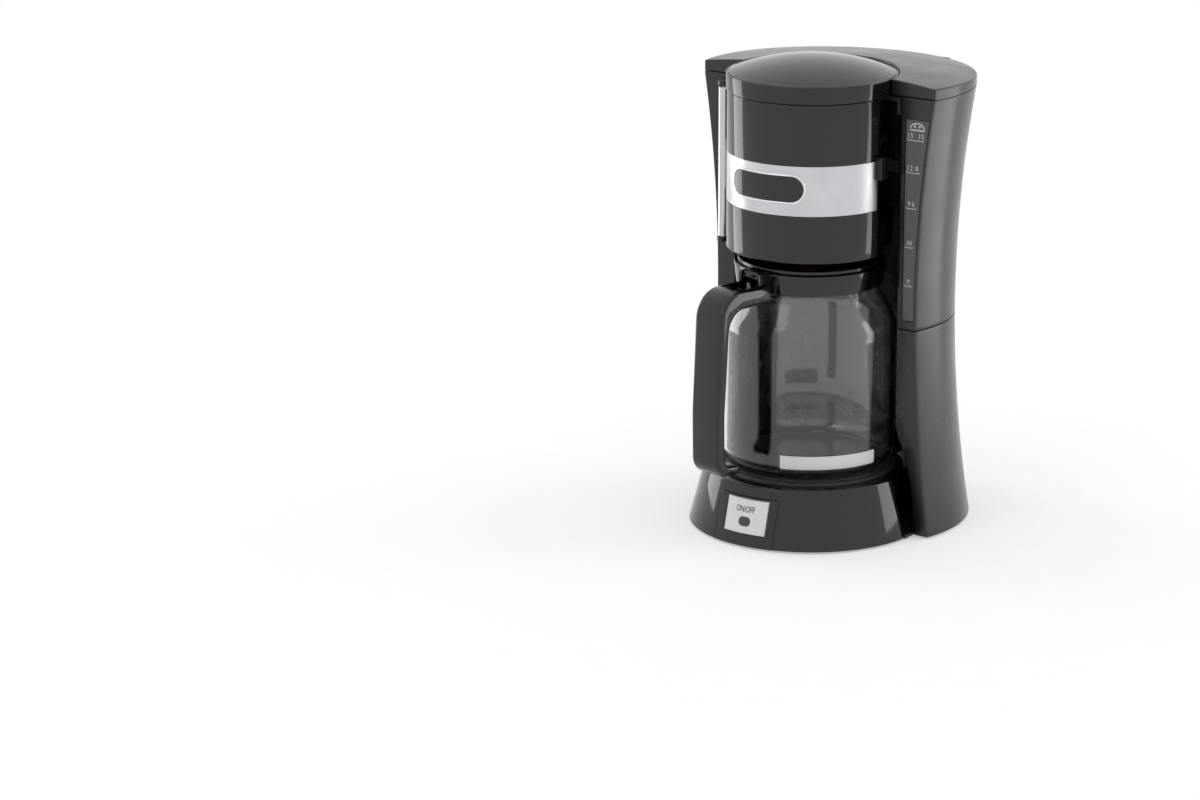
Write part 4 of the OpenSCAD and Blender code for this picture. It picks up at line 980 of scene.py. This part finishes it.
lettering([(str(n), -6.0, cups_z(n) - 1.6) for n in range(2, 13, 2)], 3.4, on_glass,
          "carafe_numbers", white_ink, "carafe")
scale = [printed(bar(0, 4.5 if n % 2 else 8, cups_z(n) - 0.3, cups_z(n) + 0.3), 0.01, on_glass)
         for n in range(2, 13)]
piece("carafe_ticks", joined(*scale), white_ink, "carafe")
piece("pilot_window_lens", prism(box(-4.7, 4.7, 15.75, 22.05, 2.95, 10), 0, 6.0, 0.5,
                                 on_skirt(0, 0, 0.9)), lamp_pc, "power_button", ["pilot_window"])


# ---------- finishes of the solids that show ----------

for node, material in NODE_FINISH.items():
    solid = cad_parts[node]
    solid.data.materials.clear()
    solid.data.materials.append(material)


# ---------- studio ----------

def seen_rays(tree):
    """1 for rays from the camera, a reflection or through glass, and 0 for the light that falls on
    matt surfaces."""
    ray = add(tree, "ShaderNodeLightPath").outputs
    seen = ray["Is Camera Ray"]
    for kind in ("Is Glossy Ray", "Is Transmission Ray"):
        seen = add(tree, "ShaderNodeMath", {"operation": "MAXIMUM"}, {0: seen, 1: ray[kind]}).outputs[0]
    return seen


def studio():
    """Plain white room: the camera, reflections and anything seen through glass meet the same white,
    at strength 1, and matt surfaces get an even light of strength soft from it."""
    world = bpy.data.worlds.new("soft_white_studio")
    bpy.context.scene.world = world
    world.use_nodes = True
    tree = world.node_tree
    sky = tree.nodes["Background"]
    sky.inputs["Color"].default_value = linear("#ffffff")
    soft = 0.62
    level = add(tree, "ShaderNodeMath", {"operation": "MULTIPLY_ADD", 1: 1 - soft, 2: soft},
                {0: seen_rays(tree)})
    tree.links.new(level.outputs[0], sky.inputs["Strength"])


def softbox(name, place, aim, width, height, level):
    """Flat lamp whose face is level times as bright as white: power = level x pi x area."""
    lamp = bpy.data.lights.new(name, "AREA")
    lamp.shape, lamp.size, lamp.size_y = "RECTANGLE", width, height
    lamp.energy = level * math.pi * width * height
    holder = bpy.data.objects.new(name, lamp)
    bpy.context.scene.collection.objects.link(holder)
    z = np.array(place, float) - np.array(aim, float)
    z /= np.linalg.norm(z)
    x = np.cross([0, 0, 1.0], z)
    x /= np.linalg.norm(x)
    matrix = np.eye(4)
    matrix[:3, :3] = np.stack([x, np.cross(z, x), z], 1)
    matrix[:3, 3] = place
    holder.matrix_world = Matrix(matrix.tolist())


def floor():
    """Pale round table: matt white that keeps the object's shadow. Towards its rim it gives way to
    the white of the room by how far a point is from the middle, so that no edge shows. What it adds
    to the matt white is seen, and doesn't light the object."""
    radius, glow_level, sides = 0.62, 0.38, 96
    a = np.linspace(0, 2 * np.pi, sides, endpoint=False)
    mesh = bpy.data.meshes.new("floor")
    mesh.from_pydata(np.stack([radius * np.cos(a), radius * np.sin(a), 0 * a], 1).tolist(), [],
                     [list(range(sides))])
    paper = bpy.data.materials.new("white_paper_floor")
    paper.use_nodes = True
    tree = paper.node_tree
    tree.nodes.remove(tree.nodes["Principled BSDF"])
    place = add(tree, "ShaderNodeTexCoord").outputs["Object"]
    grain = add(tree, "ShaderNodeTexNoise", {"Scale": 40.0, "Detail": 4.0}, {"Vector": place})
    tint = add(tree, "ShaderNodeMix", {"data_type": "RGBA", 6: linear("#ececec"), 7: linear("#f2f2f2")},
               {0: grain.outputs["Fac"]})
    matt = add(tree, "ShaderNodeBsdfDiffuse", {}, {"Color": tint.outputs[2]})
    seen = seen_rays(tree)
    glow = add(tree, "ShaderNodeMath", {"operation": "MULTIPLY", 1: glow_level}, {0: seen})
    lit = add(tree, "ShaderNodeEmission", {}, {"Strength": glow.outputs[0]})
    both = add(tree, "ShaderNodeAddShader", {}, {0: matt.outputs[0], 1: lit.outputs[0]})
    plain = add(tree, "ShaderNodeEmission", {"Strength": 1.0})
    far = add(tree, "ShaderNodeVectorMath", {"operation": "LENGTH"}, {0: place})
    fade = add(tree, "ShaderNodeMapRange", {"interpolation_type": "SMOOTHSTEP", "From Min": 0.2,
                                            "From Max": 0.58, "To Min": 0.0, "To Max": 1.0},
               {"Value": far.outputs["Value"]})
    share = add(tree, "ShaderNodeMath", {"operation": "MULTIPLY"}, {0: fade.outputs[0], 1: seen})
    mixed = add(tree, "ShaderNodeMixShader", {},
                {0: share.outputs[0], 1: both.outputs[0], 2: plain.outputs[0]})
    tree.links.new(mixed.outputs[0], tree.nodes["Material Output"].inputs["Surface"])
    mesh.materials.append(paper)
    ground = bpy.data.objects.new("floor", mesh)
    bpy.context.scene.collection.objects.link(ground)


studio()
# The side lamps reach below the table's height, where upright faces reflect them
softbox("left_softbox", (-1.7, -0.15, 0.15), (0, 0, 0.1), 0.7, 1.8, 2.6)
softbox("right_softbox", (1.35, 1.25, 0.2), (0, 0, 0.1), 1.2, 1.8, 2.2)
softbox("front_softbox", (-0.6, -2.2, 1.7), (0, 0, 0.18), 1.0, 1.0, 0.9)
floor()

scene = bpy.context.scene
scene.view_settings.view_transform = "Standard"
